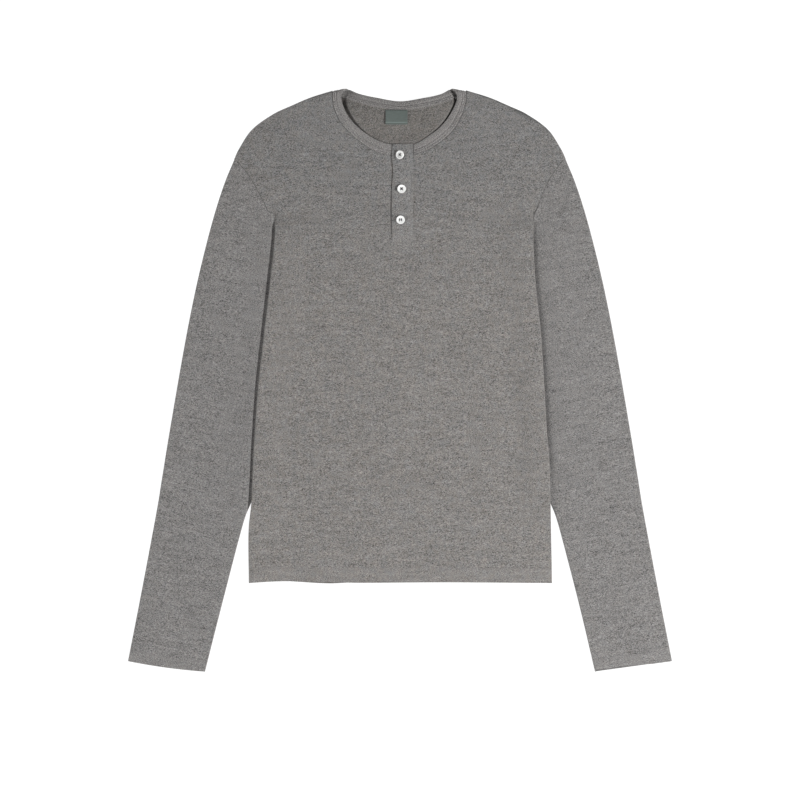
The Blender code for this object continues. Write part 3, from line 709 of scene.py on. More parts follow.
def yoke(neckline, rings):
    """Columns from the neckline out to the armholes and the chest line, with a point at each ring."""
    stops = evenly(ARMHOLE_STEPS)[1:]
    outer = [ARMHOLE_PATH[-1](stop) for stop in reversed(stops)] + chest_row(UNDERARM.y)
    outer += [ARMHOLE_PATH[1](stop) for stop in stops]
    last = len(neckline) - 1
    shoulders = []
    for side, start in ((-1, neckline[0]), (1, neckline[last])):
        middle = [plan(side * row.half, row.y) for row in reversed(SHOULDER[1:-1])]
        line = path_curve([start] + middle + [ARMHOLE_PATH[side](1.0)])
        shoulders.append([line(ring) for ring in rings])
    left, right = shoulders
    columns = shoulder_columns(left, neckline[1], outer[1])
    for i in range(1, last):
        u = i / last
        column = []
        for ring, start, end in zip(rings, left, right):
            bow_left = start - neckline[0].lerp(outer[0], ring)
            bow_right = end - neckline[last].lerp(outer[last], ring)
            column.append(neckline[i].lerp(outer[i], ring) + bow_left * (1 - u) + bow_right * u)
        columns.append(column)
    return columns + list(reversed(shoulder_columns(right, neckline[last - 1], outer[last - 1])))


def skirt_heights():
    """Rows above the hem, closer together at its stitches."""
    top = UNDERARM.y - SIDES[0].y
    count = round((top - HEM_BAND[-1]) / BODY_ROW)
    return list(HEM_BAND) + [HEM_BAND[-1] + (top - HEM_BAND[-1]) * i / count for i in range(1, count)]


def skirt(hem):
    """Rows from the hem up to the chest line, where the turned side edges run out at the underarms."""
    rounded = []
    for above in skirt_heights():
        y = SIDES[0].y + above
        follow = 1 - smoothstep(*HEM_FOLLOW, above)
        row = [plan(point.x, y + (hem(point.x) - SIDES[0].y) * follow) for point in chest_row(y)]
        steps = [JERSEY / 2 + step for step in round_steps(edge_radius(*row[0]))]
        start = [row[0] + plan(step, 0.0) for step in steps]
        end = [row[-1] - plan(step, 0.0) for step in reversed(steps)]
        rounded.append(start + row[1:-1] + end)
    top = chest_row(UNDERARM.y)
    turns = len(ROUND_ANGLES)
    return rounded + [[top[0]] * turns + top[1:-1] + [top[-1]] * turns]


def body_panel(name, neckline, rings, hem, surface, finish):
    def angles(lines):
        return ROUND_ANGLES + (90,) * (len(lines) - 2 * len(ROUND_ANGLES)) + ROUND_ANGLES[::-1]

    def raised(point, angle):
        return (point.x, point.y, surface(point.x, point.y, angle))

    columns = yoke(neckline, rings)
    upper = [[raised(point, angle) for point in line] for line, angle in zip(columns, angles(columns))]
    lower = [[raised(point, angle) for point, angle in zip(row, angles(row))] for row in skirt(hem)]
    return cloth(name, [upper, lower], JERSEY, finish)


def cut_notch(front):
    """Cuts the notch under the placket out of the front."""
    low, high = plan(NOTCH[0], NOTCH_END), plan(NOTCH[1], PLACKET_ROWS[-1].y + NOTCH_CLEAR)
    deselect()
    bpy.ops.mesh.primitive_cube_add(size=1, location=(*(low + high) / 2, UPPER))
    cutter = bpy.context.object
    cutter.scale = (*(high - low), NOTCH_CLEAR)
    cutting = front.modifiers.new("Notch", "BOOLEAN")
    cutting.operation = "DIFFERENCE"
    cutting.object = cutter
    apply_modifiers(front)
    bpy.data.objects.remove(cutter)
    choose(front)
    bpy.ops.object.shade_smooth_by_angle(angle=math.radians(SHARP_EDGE))


# Sleeves

def body_edge(side, y):
    return LEFT_EDGE(y) if side < 0 else RIGHT_EDGE(y)


def sleeve_top(side, x, y):
    """Middle of the sleeve's upper layer, with its roll beside the body."""
    relief = crease_height(SLEEVE_CREASES, x, y) + swell(x, y, SLEEVE_SWELL[side])
    height = UPPER + max(relief, -AIR)
    out = side * (x - body_edge(side, y))
    if side > 0:
        rise = min(max(out / SLOPE_RISE, 0.0), 1.0)
        shape = rise * (2 - rise) * (1 - smoothstep(*SLOPE_FALL, out))
        return height + SLOPE_HEIGHT * shape * window(SLOPE_ENDS, y)
    groove = window(GROOVE, out)
    return height + ROLL_HEIGHT(y) * window(ROLL, out) * (1 - groove) - GROOVE_DEPTH(y) * groove


def sleeve_point(side, place, from_inner):
    """A point of a row, from its underarm edge to its outer one. The first rows bow to the armhole."""
    outer, inner = (edge(place) for edge in SLEEVE_ENDS[side])
    tip, underarm = (edge(0) for edge in SLEEVE_ENDS[side])
    tuck = SEAM_TUCK[0] + (SEAM_TUCK[1] - SEAM_TUCK[0]) * smoothstep(*SEAM_TUCK_REACH, from_inner)
    seam = ARMHOLE_PATH[side](from_inner) - plan(side * tuck, 0.0)
    bow = (seam - underarm.lerp(tip, from_inner)) * (1 - smoothstep(0.0, BOW_ROWS, place))
    if side < 0:
        cuff_bow = CUFF_BOW * 4 * from_inner * (1 - from_inner)
        bow += plan(0.0, -cuff_bow) * smoothstep(CUFF_PLACE - 1, CUFF_PLACE, place)
    return inner.lerp(outer, from_inner) + bow


def upper_place(side, place, from_inner):
    """Where a point of the upper layer lies along the sleeve."""
    if side < 0:
        return place
    near_cuff = smoothstep(CUFF_PLACE - CUFF_PEEK_ROWS, CUFF_PLACE, place)
    return place - CUFF_PEEK / CUFF_ROW_LENGTH * window(CUFF_PEEK_ENDS, from_inner) * near_cuff


def sleeve_columns(side, place, width, inner, turn):
    """Fractions across the upper layer, close together beside the body."""
    radius = LAYER_STEP / 2
    first = max(JERSEY / 2 + radius + SLEEVE_EDGE_CLEAR, side * (body_edge(side, inner.y) - inner.x))
    upper = [(first + column) / width for column in SLEEVE_OUT]
    step = (1 - turn - upper[-1]) / (SLEEVE_BEYOND + 1)
    upper += [upper[-1] + step * i for i in range(1, SLEEVE_BEYOND + 1)]
    at_armhole = [(i + 1) / (len(upper) + 1) for i in range(len(upper))]
    away = smoothstep(0.0, BLEND_ROWS, place)
    return [start + (end - start) * away for start, end in zip(at_armhole, upper)]


def cuff_rise(place):
    return hem_rise((CUFF_PLACE - place) * CUFF_ROW_LENGTH, CUFF_DEPTH)


def sleeve_ring(side, place):
    """Once round the flattened tube, from the underarm edge over the top and back below."""
    outer, inner = (edge(place) for edge in SLEEVE_ENDS[side])
    width = (inner - outer).length
    radius = LAYER_STEP / 2
    turns = [(JERSEY / 2 + step) / width for step in round_steps(radius)]
    upper = sleeve_columns(side, place, width, inner, turns[-1])
    lower = evenly(SLEEVE_UNDER + 1)[1:-1]

    def at(from_inner, height):
        return (*sleeve_point(side, place, from_inner), height)

    def on_top(from_inner):
        point = sleeve_point(side, upper_place(side, place, from_inner), from_inner)
        return (*point, sleeve_top(side, *point) + cuff_rise(place))

    rises = [radius * math.sin(math.radians(angle)) for angle in ROUND_ANGLES]
    middle = LOWER + radius
    under_edge_top = [at(turn, middle + rise) for turn, rise in zip(turns, rises)]
    outer_edge_top = [at(1 - turn, middle + rise) for turn, rise in zip(turns, rises)]
    outer_edge_low = [at(1 - turn, middle - rise) for turn, rise in zip(turns[1:], rises[1:])]
    under_edge_low = [at(turn, middle - rise) for turn, rise in zip(turns[1:], rises[1:])]
    return (
        under_edge_top
        + [on_top(column) for column in upper]
        + list(reversed(outer_edge_top))
        + outer_edge_low
        + [at(column, LOWER) for column in reversed(lower)]
        + list(reversed(under_edge_low))
    )


def sleeve_places():
    """Rows from the armhole to the cuff, closer together at the cuff's stitches."""
    cuff = [CUFF_PLACE - above / CUFF_ROW_LENGTH for above in reversed(CUFF_BAND)]
    count = round(cuff[0] / SLEEVE_STEP)
    return [cuff[0] * i / count for i in range(count)] + cuff


def sleeve(name, side, finish):
    rings = [sleeve_ring(side, place) for place in sleeve_places()]
    return cloth(name, [rings], JERSEY, finish, closed=True)


# Neckband, placket and label

def band_line(free, seam, free_z, seam_z, lean=0.0):
    """Points across the band. lean is how far its cloth faces +Y instead of up, in degrees."""
    up, out = math.cos(math.radians(lean)), math.sin(math.radians(lean))
    points = []
    for row in BAND_ROWS:
        point = seam.lerp(free, row.across)
        height = seam_z + (free_z - seam_z) * row.across
        height = max(height + row.stand_off * up, BAND / 2)
        points.append((point.x, point.y + row.stand_off * out, height))
    return points


def neck_fold(front, back_row):
    """The band turning over the neck point, from the front layer down to the back one."""
    free_front, seam_front = plan(front[0], FOLD_Y), plan(front[1], FOLD_Y)
    free_back, seam_back = fold_end(front, back_row)
    high, low = front_height(front[1], FOLD_Y), BAND / 2
    radius = (high - low) / 2
    lines = []
    for angle in range(90, -91, -FOLD_TURN):
        turn = (90 - angle) / 180
        out = plan(0.0, radius * math.cos(math.radians(angle)))
        height = (high + low) / 2 + radius * math.sin(math.radians(angle))
        free = free_front.lerp(free_back, turn) + out
        seam = seam_front.lerp(seam_back, turn) + out
        lines.append(band_line(free, seam, height, height, 90 - angle))
    return lines


def back_band_height(x, y):
    return BAND / 2 + inner_rise(x, y)


def band_lines(rows, steps, height):
    return [band_line(free, seam, height(*free), height(*seam)) for free, seam in spread(rows, steps)]


def neckband(name, finish):
    right = band_lines(NECK_RIGHT_FRONT, BAND_STEPS, front_height) + neck_fold(FOLD_RIGHT, NECK_BACK[0])
    left = band_lines(NECK_LEFT_FRONT, BAND_STEPS, front_height) + neck_fold(FOLD_LEFT, NECK_BACK[-1])
    rows = right + band_lines(NECK_BACK, BACK_NECK_STEPS, back_band_height) + list(reversed(left))
    piece = cloth(name, [rows], BAND, finish, soften=0.38)
    grain_along(piece, rows)
    return piece


def placket_level(x, y):
    """Upper face of the placket: it slopes down to its sewn edge and to its lower end."""
    across = smoothstep(PLACKET_SLOPE, PLACKET_SEWN_EDGE, x)
    end = 1 - smoothstep(*PLACKET_END_SLOPE, y)
    lip = PLACKET_LIP[0] * (1 - smoothstep(0.0, PLACKET_LIP[1], x - SLIT_EDGE(y))) * (1 - end)
    return PLACKET_LEVEL + (PLACKET_SEWN_LEVEL - PLACKET_LEVEL) * max(across, end) - lip


def placket_top(name, finish):
    rows = []
    low, high = PLACKET_ROWS[0].y, PLACKET_ROWS[-1].y
    for step in evenly(PLACKET_STEPS[1]):
        y = low + (high - low) * step
        edge = SLIT_EDGE(y)
        row = [edge + (PLACKET_SEWN_EDGE - edge) * across for across in evenly(PLACKET_STEPS[0])]
        rows.append([(x, y, placket_level(x, y) - PLACKET / 2 + swell(x, y, BODY_SWELL)) for x in row])
    return cloth(name, [rows], PLACKET, finish, soften=0.4)


def placket_under(name, finish):
    low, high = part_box("placket_under")
    level = (low[2] + high[2]) / 2
    across = [low[0] + (high[0] - low[0]) * step for step in evenly(UNDER_STEPS[0])]
    along = [low[1] + (high[1] - low[1]) * step for step in evenly(UNDER_STEPS[1])]
    return cloth(name, [[[(x, y, level) for x in across] for y in along]], JERSEY, finish)


def label(name, finish):
    """A small woven label, its lower edge folded and its sides a little curled."""
    rows = []
    level = LOWER + JERSEY / 2 + SEAM_GAP + LABEL / 2
    width, length = LABEL_SIZE
    for step in evenly(LABEL_STEPS):
        along = step * length
        y = LABEL_CENTRE[1] - length / 2 + along
        dent = LABEL_FOLD_DENT * math.exp(-(((along - LABEL_FOLD) / LABEL_FOLD_WIDTH) ** 2))
        row = []
        for across in evenly(LABEL_STEPS):
            x = LABEL_CENTRE[0] + (across - 0.5) * width
            curl = LABEL_CURL * (abs(2 * across - 1) ** 4) * (1 - step)
            row.append((x, y, level + inner_rise(x, y) - dent + curl))
        rows.append(row)
    return cloth(name, [rows], LABEL, finish)


# Tones of the cloth, with painted shade and highlight among them, and the grain of a strip that turns round
# the neck

HEM_LIGHTER_AND_EDGE_HIGHLIGHT = 0.065  # turned hems show a little lighter; the same amount is the painted highlight on the upper cuff layer's edge
WRONG_SIDE_DARKER = 0.13  # and the neckband across the back, seen from its wrong side, darker
WRONG_SIDE_FROM = (0.362, 0.372)
WRONG_SIDE_ENDS = (0.066, 0.074)
PEEK_PAINTED_SHADE = 0.182  # painted shade on the lower layer of a cuff, where it peeks out from under the upper one
PEEK_HIGHLIGHT_EDGE = (0.0034, 0.0042)  # where the painted highlight on the upper one's edge ends, from the lower one's edge
RIM_PAINTED_SHADE = 0.55  # painted shade: a dark rim along the shoulder edge on the wearer's left
RIM = (0.00132, 0.0022)  # the painted shade fades over this distance from the shoulder line
RIM_ENDS = (0.096, 0.112, 0.196, 0.212)


def mark_lighter(piece, amount):
    """Gives each point of a piece how much lighter or darker its cloth shows: its own tone, and painted
    shade and highlight where a tone function paints them.
    """
    layer = piece.data.attributes.new(name="lighter", type="FLOAT", domain="POINT")
    for vertex in piece.data.vertices:
        layer.data[vertex.index].value = amount(vertex.co)


def doubled(above_hem, depth):
    """How much lighter a point shows where a hem is turned under, by its height over the hem."""
    return HEM_LIGHTER_AND_EDGE_HIGHLIGHT * (1 - smoothstep(depth - HEM_SOFT / 2, depth + HEM_SOFT / 2, above_hem))


def front_tones(point):
    """Lighter over the hem, with painted shade as a dark rim along the shoulder edge on the wearer's left.
    """
    within = 1 - smoothstep(*RIM, SHOULDER_Y(abs(point.x)) - point.y)
    rim = RIM_PAINTED_SHADE * window(RIM_ENDS, point.x) * within * (point.y > UNDERARM.y)
    return doubled(point.y - FRONT_HEM(point.x), HEM_DEPTH) - rim


def cuff_tones(side):
    """Lighter over the cuff's hem. Where the cuff's layers part, the upper one's edge gets a painted
    highlight and the lower one painted shade."""
    outer, inner = (edge(CUFF_PLACE) for edge in SLEEVE_ENDS[side])
    along = (inner - outer).normalized()
    up = plan(-along.y, along.x) * -side

    def tone(point):
        above = (plan(point.x, point.y) - outer).dot(up)
        hem = doubled(above, CUFF_DEPTH)
        if side < 0:
            return hem
        # Painted shade on the lower layer; painted highlight along the upper one's edge.
        if point.z < LOWER + LAYER_STEP / 2:
            return -PEEK_PAINTED_SHADE
        return hem + HEM_LIGHTER_AND_EDGE_HIGHLIGHT * (1 - smoothstep(*PEEK_HIGHLIGHT_EDGE, above))

    return tone


def band_tones(point):
    """Darker across the back of the neck, inside the neck points."""
    inside = 1 - smoothstep(*WRONG_SIDE_ENDS, abs(point.x))
    return -WRONG_SIDE_DARKER * inside * smoothstep(*WRONG_SIDE_FROM, point.y)


def grain_along(piece, rows):
    """Gives a strip a UV map in metres: u along the strip, v across it."""
    lengths = lengths_along([Vector(row[len(row) // 2]) for row in rows])
    places = {}
    for row, length in zip(rows, lengths):
        for point in row:
            places[Vector(point).freeze()] = (length, (Vector(point) - Vector(row[0])).length)
    tree = KDTree(len(places))
    values = list(places.values())
    for index, point in enumerate(places):
        tree.insert(point, index)
    tree.balance()
    layer = piece.data.uv_layers.new(name="grain")
    for loop in piece.data.loops:
        nearest = tree.find(piece.data.vertices[loop.vertex_index].co)[1]
        layer.data[loop.index].uv = values[nearest]


# Stitches and threads

STITCH_LENGTH = 0.0026
STITCH_PITCH = 0.0031
STITCH_WIDTH = 0.00055
STITCH_HEIGHT = 0.8  # in widths
SEAM_STITCH = (1.4, 2.1, 1.2)  # a seam's stitch against a plain one: length, width, height
HEM_STITCH_IN = 0.004  # from the side edges
CUFF_STITCH_IN = 0.025  # from the cuff's edges, as a share of its width
ARMHOLE_STITCH_IN = 0.0006  # from the seam
ARMHOLE_STITCH_ENDS = 0.04  # from the seam's ends, as a share of its length
ARMHOLE_STITCH_SINK = 0.1  # in widths
LABEL_STITCH_IN = 0.0012
HEM_PATH_STEPS = 150
PATH_STEPS = 60
PLACKET_PATH_STEPS = (50, 12)  # down its sewn edge, and across its lower end
LABEL_PATH_STEPS = 8
STRAND_STEPS = 14


def model_stitch():
    """One stitch, as a low bead of thread along X."""
    deselect()
    bpy.ops.mesh.primitive_uv_sphere_add(segments=6, ring_count=4, radius=0.5)
    stitch = bpy.context.object
    stitch.rotation_euler = (0, math.radians(90), 0)
    stitch.scale = (STITCH_WIDTH * STITCH_HEIGHT, STITCH_WIDTH, STITCH_LENGTH)
    bpy.ops.object.transform_apply(location=False, rotation=True, scale=True)
    return stitch


def model_seam_stitch(stitch):
    """A longer and wider one, for a seam that shows as an unbroken line: the armhole's, whose dark thread is
    painted shade of the seam.
    """
    seam = stitch.copy()
    seam.data = stitch.data.copy()
    bpy.context.scene.collection.objects.link(seam)
    seam.data.transform(Matrix.Diagonal((*SEAM_STITCH, 1)))
    return seam


def stitching(name, paths, stitch, finish):
    """Rows of stitches along paths of points on the cloth's surface."""
    shape = bmesh.new()
    for path in paths:
        points = [Vector(point) for point in path]
        lengths = lengths_along(points)
        read = smooth_curve(lengths, points)
        count = max(int(lengths[-1] / STITCH_PITCH), 1)
        for i in range(count):
            at = (i + 0.5) * lengths[-1] / count
            along = (read(at + STITCH_PITCH / 4) - read(at - STITCH_PITCH / 4)).normalized()
            across = Vector((0, 0, 1)).cross(along).normalized()
            up = along.cross(across)
            turn = Matrix((along, across, up)).transposed().to_4x4()
            one = stitch.data.copy()
            one.transform(Matrix.Translation(read(at)) @ turn)
            shape.from_mesh(one)
            bpy.data.meshes.remove(one)
    return add_piece(name, shape, finish)


def hem_paths():
    paths = []
    for above in HEM_ROWS:
        row = []
        for step in evenly(HEM_PATH_STEPS):
            y = SIDES[0].y + above
            x = LEFT_EDGE(y) + HEM_STITCH_IN + (RIGHT_EDGE(y) - LEFT_EDGE(y) - 2 * HEM_STITCH_IN) * step
            y = FRONT_HEM(x) + above
            row.append((x, y, front_surface(x, y) + JERSEY / 2))
        paths.append(row)
    return paths


def cuff_paths(side):
    paths = []
    for above in CUFF_ROWS:
        place = CUFF_PLACE - above / CUFF_ROW_LENGTH
        row = []
        for step in evenly(PATH_STEPS):
            across = CUFF_STITCH_IN + (1 - 2 * CUFF_STITCH_IN) * step
            point = sleeve_point(side, upper_place(side, place, across), across)
            row.append((point.x, point.y, sleeve_top(side, *point) + cuff_rise(place) + JERSEY / 2))
        paths.append(row)
    return paths


def band_paths():
    """Two rows of stitches round the front of the neckband, and the same across the back."""
    paths = []
    for across in BAND_STITCHES:
        for rows in (NECK_RIGHT_FRONT, NECK_LEFT_FRONT, NECK_BACK):
            path = []
            for free, seam in spread(rows, PATH_STEPS):
                point = seam.lerp(free, across)
                height = front_height(*point) - BAND_STITCH_SINK
                if rows is NECK_BACK:
                    height = back_band_height(*point)
                path.append((point.x, point.y, height + BAND / 2))
            paths.append(path)
    return paths


def armhole_paths():
    """Along each armhole seam, on the body's side of it."""
    paths = []
    for side in (-1, 1):
        path = []
        for step in evenly(PATH_STEPS):
            place = ARMHOLE_STITCH_ENDS + (1 - 2 * ARMHOLE_STITCH_ENDS) * step
            point = ARMHOLE_PATH[side](place) - plan(side * ARMHOLE_STITCH_IN, 0.0)
            level = front_surface(*point) + JERSEY / 2 - ARMHOLE_STITCH_SINK * STITCH_WIDTH
            path.append((point.x, point.y, level))
        paths.append(path)
    return paths


def back_neck_path():
    """Pale thread along the seam under the back of the neckband."""
    path = []
    for free, seam in spread(NECK_BACK, PATH_STEPS)[2:-2]:
        point = seam.lerp(free, BACK_NECK_SEAM)
        path.append((point.x, point.y, LOWER + JERSEY / 2 + inner_rise(*point)))
    return [path]


def placket_paths():
    """Down the sewn edge and across the lower end."""
    x = PLACKET_SEWN_EDGE - PLACKET_STITCH_IN
    low, high = PLACKET_ROWS[0].y + PLACKET_STITCH_IN, PLACKET_ROWS[-1].y - PLACKET_STITCH_IN
    left = SLIT_EDGE(low) + PLACKET_STITCH_IN
    down = [(x, high + (low - high) * step) for step in evenly(PLACKET_PATH_STEPS[0])]
    across = [(x + (left - x) * step, low) for step in evenly(PLACKET_PATH_STEPS[1])]
    return [[(px, py, placket_level(px, py)) for px, py in path] for path in (down, across)]


def label_paths():
    top = LABEL_CENTRE[1] + LABEL_SIZE[1] / 2 - LABEL_STITCH_IN
    half = LABEL_SIZE[0] / 2 - LABEL_STITCH_IN
    level = LOWER + JERSEY / 2 + SEAM_GAP + LABEL
    row = [LABEL_CENTRE[0] - half + 2 * half * step for step in evenly(LABEL_PATH_STEPS)]
    return [[(x, top, level + inner_rise(x, top)) for x in row]]


def strand(points, radius, finish, name):
    """A length of thread through points."""
    curve = bpy.data.curves.new(name, "CURVE")
    curve.dimensions = "3D"
    curve.bevel_depth = radius
    curve.bevel_resolution = 1
    curve.use_fill_caps = True
    line = curve.splines.new("POLY")
    line.points.add(len(points) - 1)
    for knot, point in zip(line.points, points):
        knot.co = (*point, 1.0)
    thread = bpy.data.objects.new(name, curve)
    bpy.context.scene.collection.objects.link(thread)
    choose(thread)
    bpy.ops.object.convert(target="MESH")
    thread.data.materials.clear()
    thread.data.materials.append(finish)
    thread.data.shade_smooth()
    return thread


def join(name, pieces):
    deselect()
    for piece in pieces:
        piece.select_set(True)
    bpy.context.view_layer.objects.active = pieces[0]
    bpy.ops.object.join()
    pieces[0].name = name
    pieces[0].data.name = name
    return pieces[0]


# Buttons

def hole_places():
    reach = HOLE_SPREAD / math.sqrt(2)
    return [(-reach, -reach), (reach, -reach), (reach, reach), (-reach, reach)]


def model_button(finish):
    """A dished four-hole button at the origin, its base on Z = 0."""
    deselect()
    bpy.ops.mesh.primitive_cylinder_add(
        vertices=BUTTON_SIDES, radius=BUTTON_RADIUS, depth=BUTTON_HEIGHT, location=(0, 0, BUTTON_HEIGHT / 2),
    )
    button = bpy.context.object
    bpy.ops.object.transform_apply(location=True, rotation=False, scale=False)
    bpy.ops.object.mode_set(mode="EDIT")
    bpy.ops.mesh.select_all(action="DESELECT")
    bpy.ops.object.mode_set(mode="OBJECT")
    for face in button.data.polygons:
        face.select = face.normal.z > 0.9
    bpy.ops.object.mode_set(mode="EDIT")
    bpy.ops.mesh.inset(thickness=BUTTON_RIM)
    bpy.ops.mesh.inset(thickness=BUTTON_DISH)
    bpy.ops.transform.translate(value=(0, 0, -BUTTON_DISH))
    bpy.ops.object.mode_set(mode="OBJECT")
    soft = button.modifiers.new("Soft edges", "BEVEL")
    soft.width = BUTTON_SOFT
    soft.segments = 4
    soft.limit_method = "ANGLE"
    soft.angle_limit = math.radians(BUTTON_SHARP)
    apply_modifiers(button)
    for x, y in hole_places():
        deselect()
        bpy.ops.mesh.primitive_cylinder_add(
            vertices=HOLE_SIDES, radius=HOLE_RADIUS, depth=HOLE_DRILL, location=(x, y, 0),
        )
        drill = bpy.context.object
        hole = button.modifiers.new("Hole", "BOOLEAN")
        hole.operation = "DIFFERENCE"
        hole.object = drill
        apply_modifiers(button)
        bpy.data.objects.remove(drill)
    button.data.materials.append(finish)
    choose(button)
    bpy.ops.object.shade_smooth_by_angle(angle=math.radians(BUTTON_SMOOTH))
    return button


def button_place(row):
    return Matrix.Translation((row.x, row.y, row.base)) @ Matrix.Rotation(-math.radians(row.tilt), 4, "Y")


def button_thread(number, row, crossed, finish):
    """Thread through the holes: crossed, or two stitches side by side."""
    holes = hole_places()
    pairs = ((0, 2), (1, 3)) if crossed else ((0, 3), (1, 2))
    dish = BUTTON_HEIGHT - BUTTON_DISH
    placed = button_place(row)
    strands = []
    for layer, (first, second) in enumerate(pairs):
        start, end = Vector(holes[first]), Vector(holes[second])
        side = (end - start).orthogonal().normalized() * THREAD * THREAD_LANE
        for lane in (-1, 0, 1):
            points = []
            for step in evenly(STRAND_STEPS):
                flat = start.lerp(end, step) + side * lane * (0.5 + 0.5 * math.sin(math.pi * step))
                over = math.sin(math.pi * step) ** THREAD_SHOULDER if 0 < step < 1 else 0.0
                crossing = THREAD_CROSSING * layer * crossed
                height = dish - THREAD_DEPTH + over * (THREAD_DEPTH + THREAD + crossing)
                points.append(placed @ Vector((flat.x, flat.y, height)))
            strands.append(strand(points, THREAD, finish, f"strand_{number}"))
    return join(f"button_{number}_thread", strands)


def buttonhole(number, row, finish):
    """Close stitches round a slit, mostly under the button."""
    bars = []
    start, end = row.y - BUTTONHOLE_BELOW, row.y + BUTTONHOLE_ABOVE
    count = round((end - start) / BUTTONHOLE_PITCH)
    for i in range(count + 1):
        y = start + (end - start) * i / count
        level = placket_level(row.x, y)
        low, high = level - BUTTONHOLE_SINK, level + BUTTONHOLE_RISE
        for side in (-1, 1):
            inner, outer = (row.x + side * reach for reach in BUTTONHOLE_BAR)
            bars.append([(inner, y, low), ((inner + outer) / 2, y, high), (outer, y, low)])
    shape = [strand(points, THREAD, finish, f"bar_{number}") for points in bars]
    return join(f"buttonhole_{number}", shape)


# Finishes

FLECK = (0.0014, 0.0006)  # length along the courses and width of the heather's flecks
FLECK_CONTRAST = 3.5
FIBRE = (0.0036, 0.0005)
FIBRE_CONTRAST = 0.8
STREAK = (0.030, 0.0045)  # paler and darker courses
STREAK_CONTRAST = 0.34
MOTTLE = 0.016
MOTTLE_CONTRAST = 0.22
HUE_PATCH = 0.006
YOKE_RANGE = (0.08, 0.36)  # y over which the front turns a little cooler, with painted shade that makes it darker towards the neck
YOKE_PAINTED_SHADE = 0.10
YOKE_COOLER = 0.16
WALE = 0.0009  # width of a column of knit stitches
COURSE = 0.0007
COURSE_DEPTH = 0.5  # against the columns' depth, and so is the fuzz's
FUZZ = 0.0009
FUZZ_DEPTH = 1.6
KNIT_BUMP = 0.0001
THREAD_FUZZ = 0.0006
THREAD_TWIST = 0.0005
THREAD_BUMP = 0.00005
RESIN_CLOUD = 0.004
RESIN_SCUFF = 0.0012
RESIN_BUMP = 0.00002
WEFT = 0.00042
WARP = 0.00036
WARP_DEPTH = 0.6  # against the weft's
SLUB = (0.006, 0.0009)
LABEL_FOLD_REACH = 0.0005  # half the width of the pale thread along the label's fold
TAPE_BUMP = 0.00008
WAVE_TURN = 2 * math.pi / 20  # a wave texture of scale 1 repeats at this distance


def new_finish(name):
    finish = bpy.data.materials.new(name)
    finish.use_nodes = True
    return finish, finish.node_tree, finish.node_tree.nodes["Principled BSDF"]


def add_node(tree, kind, **settings):
    made = tree.nodes.new(kind)
    for key, value in settings.items():
        setattr(made, key, value)
    return made


def mapping(tree, source, scale=(1, 1, 1), turn=0.0):
    made = add_node(tree, "ShaderNodeMapping")
    made.inputs["Scale"].default_value = scale
    made.inputs["Rotation"].default_value = (0, 0, turn)
    tree.links.new(source, made.inputs["Vector"])
    return made.outputs["Vector"]


def noise_texture(tree, source, detail=2.0, roughness=0.5, scale=1.0):
    made = add_node(tree, "ShaderNodeTexNoise")
    made.inputs["Scale"].default_value = scale
    made.inputs["Detail"].default_value = detail
    made.inputs["Roughness"].default_value = roughness
    tree.links.new(source, made.inputs["Vector"])
    return made.outputs["Fac"]


def wave_texture(tree, source, direction, pitch, distortion=0.0):
    made = add_node(tree, "ShaderNodeTexWave", wave_type="BANDS", bands_direction=direction)
    made.inputs["Scale"].default_value = WAVE_TURN / pitch
    made.inputs["Distortion"].default_value = distortion
    tree.links.new(source, made.inputs["Vector"])
    return made.outputs["Fac"]


def math_node(tree, operation, first, second, third=None):
    made = add_node(tree, "ShaderNodeMath", operation=operation)
    for socket, value in zip(made.inputs, (first, second, third)):
        if value is None:
            continue
        if isinstance(value, (int, float)):
            socket.default_value = value
        else:
            tree.links.new(value, socket)
    return made.outputs[0]


def tinted(tree, mix, cool, warm, value):
    """A colour between cool and warm, made lighter or darker by value."""
    hue = add_node(tree, "ShaderNodeMix", data_type="RGBA")
    colours = [socket for socket in hue.inputs if socket.type == "RGBA"]
    colours[0].default_value = (*cool, 1.0)
    colours[1].default_value = (*warm, 1.0)
    tree.links.new(mix, hue.inputs[0])
    shaded = add_node(tree, "ShaderNodeVectorMath", operation="SCALE")
    tree.links.new([socket for socket in hue.outputs if socket.type == "RGBA"][0], shaded.inputs[0])
    tree.links.new(value, shaded.inputs["Scale"])
    return shaded.outputs["Vector"]


def bump(tree, height, distance, shader):
    made = add_node(tree, "ShaderNodeBump")
    made.inputs["Distance"].default_value = distance
    tree.links.new(height, made.inputs["Height"])
    tree.links.new(made.outputs["Normal"], shader.inputs["Normal"])


def stretched_noise(tree, source, size, detail):
    """Noise drawn out along the courses of the knit: size holds its length and its width."""
    return noise_texture(tree, mapping(tree, source, (1 / size[0], 1 / size[1], 1 / size[1])), detail)


def around(tree, texture, contrast, middle=0.0):
    """A texture's values, spread by a contrast about a middle one."""
    return math_node(tree, "MULTIPLY_ADD", texture, contrast, middle - contrast / 2)


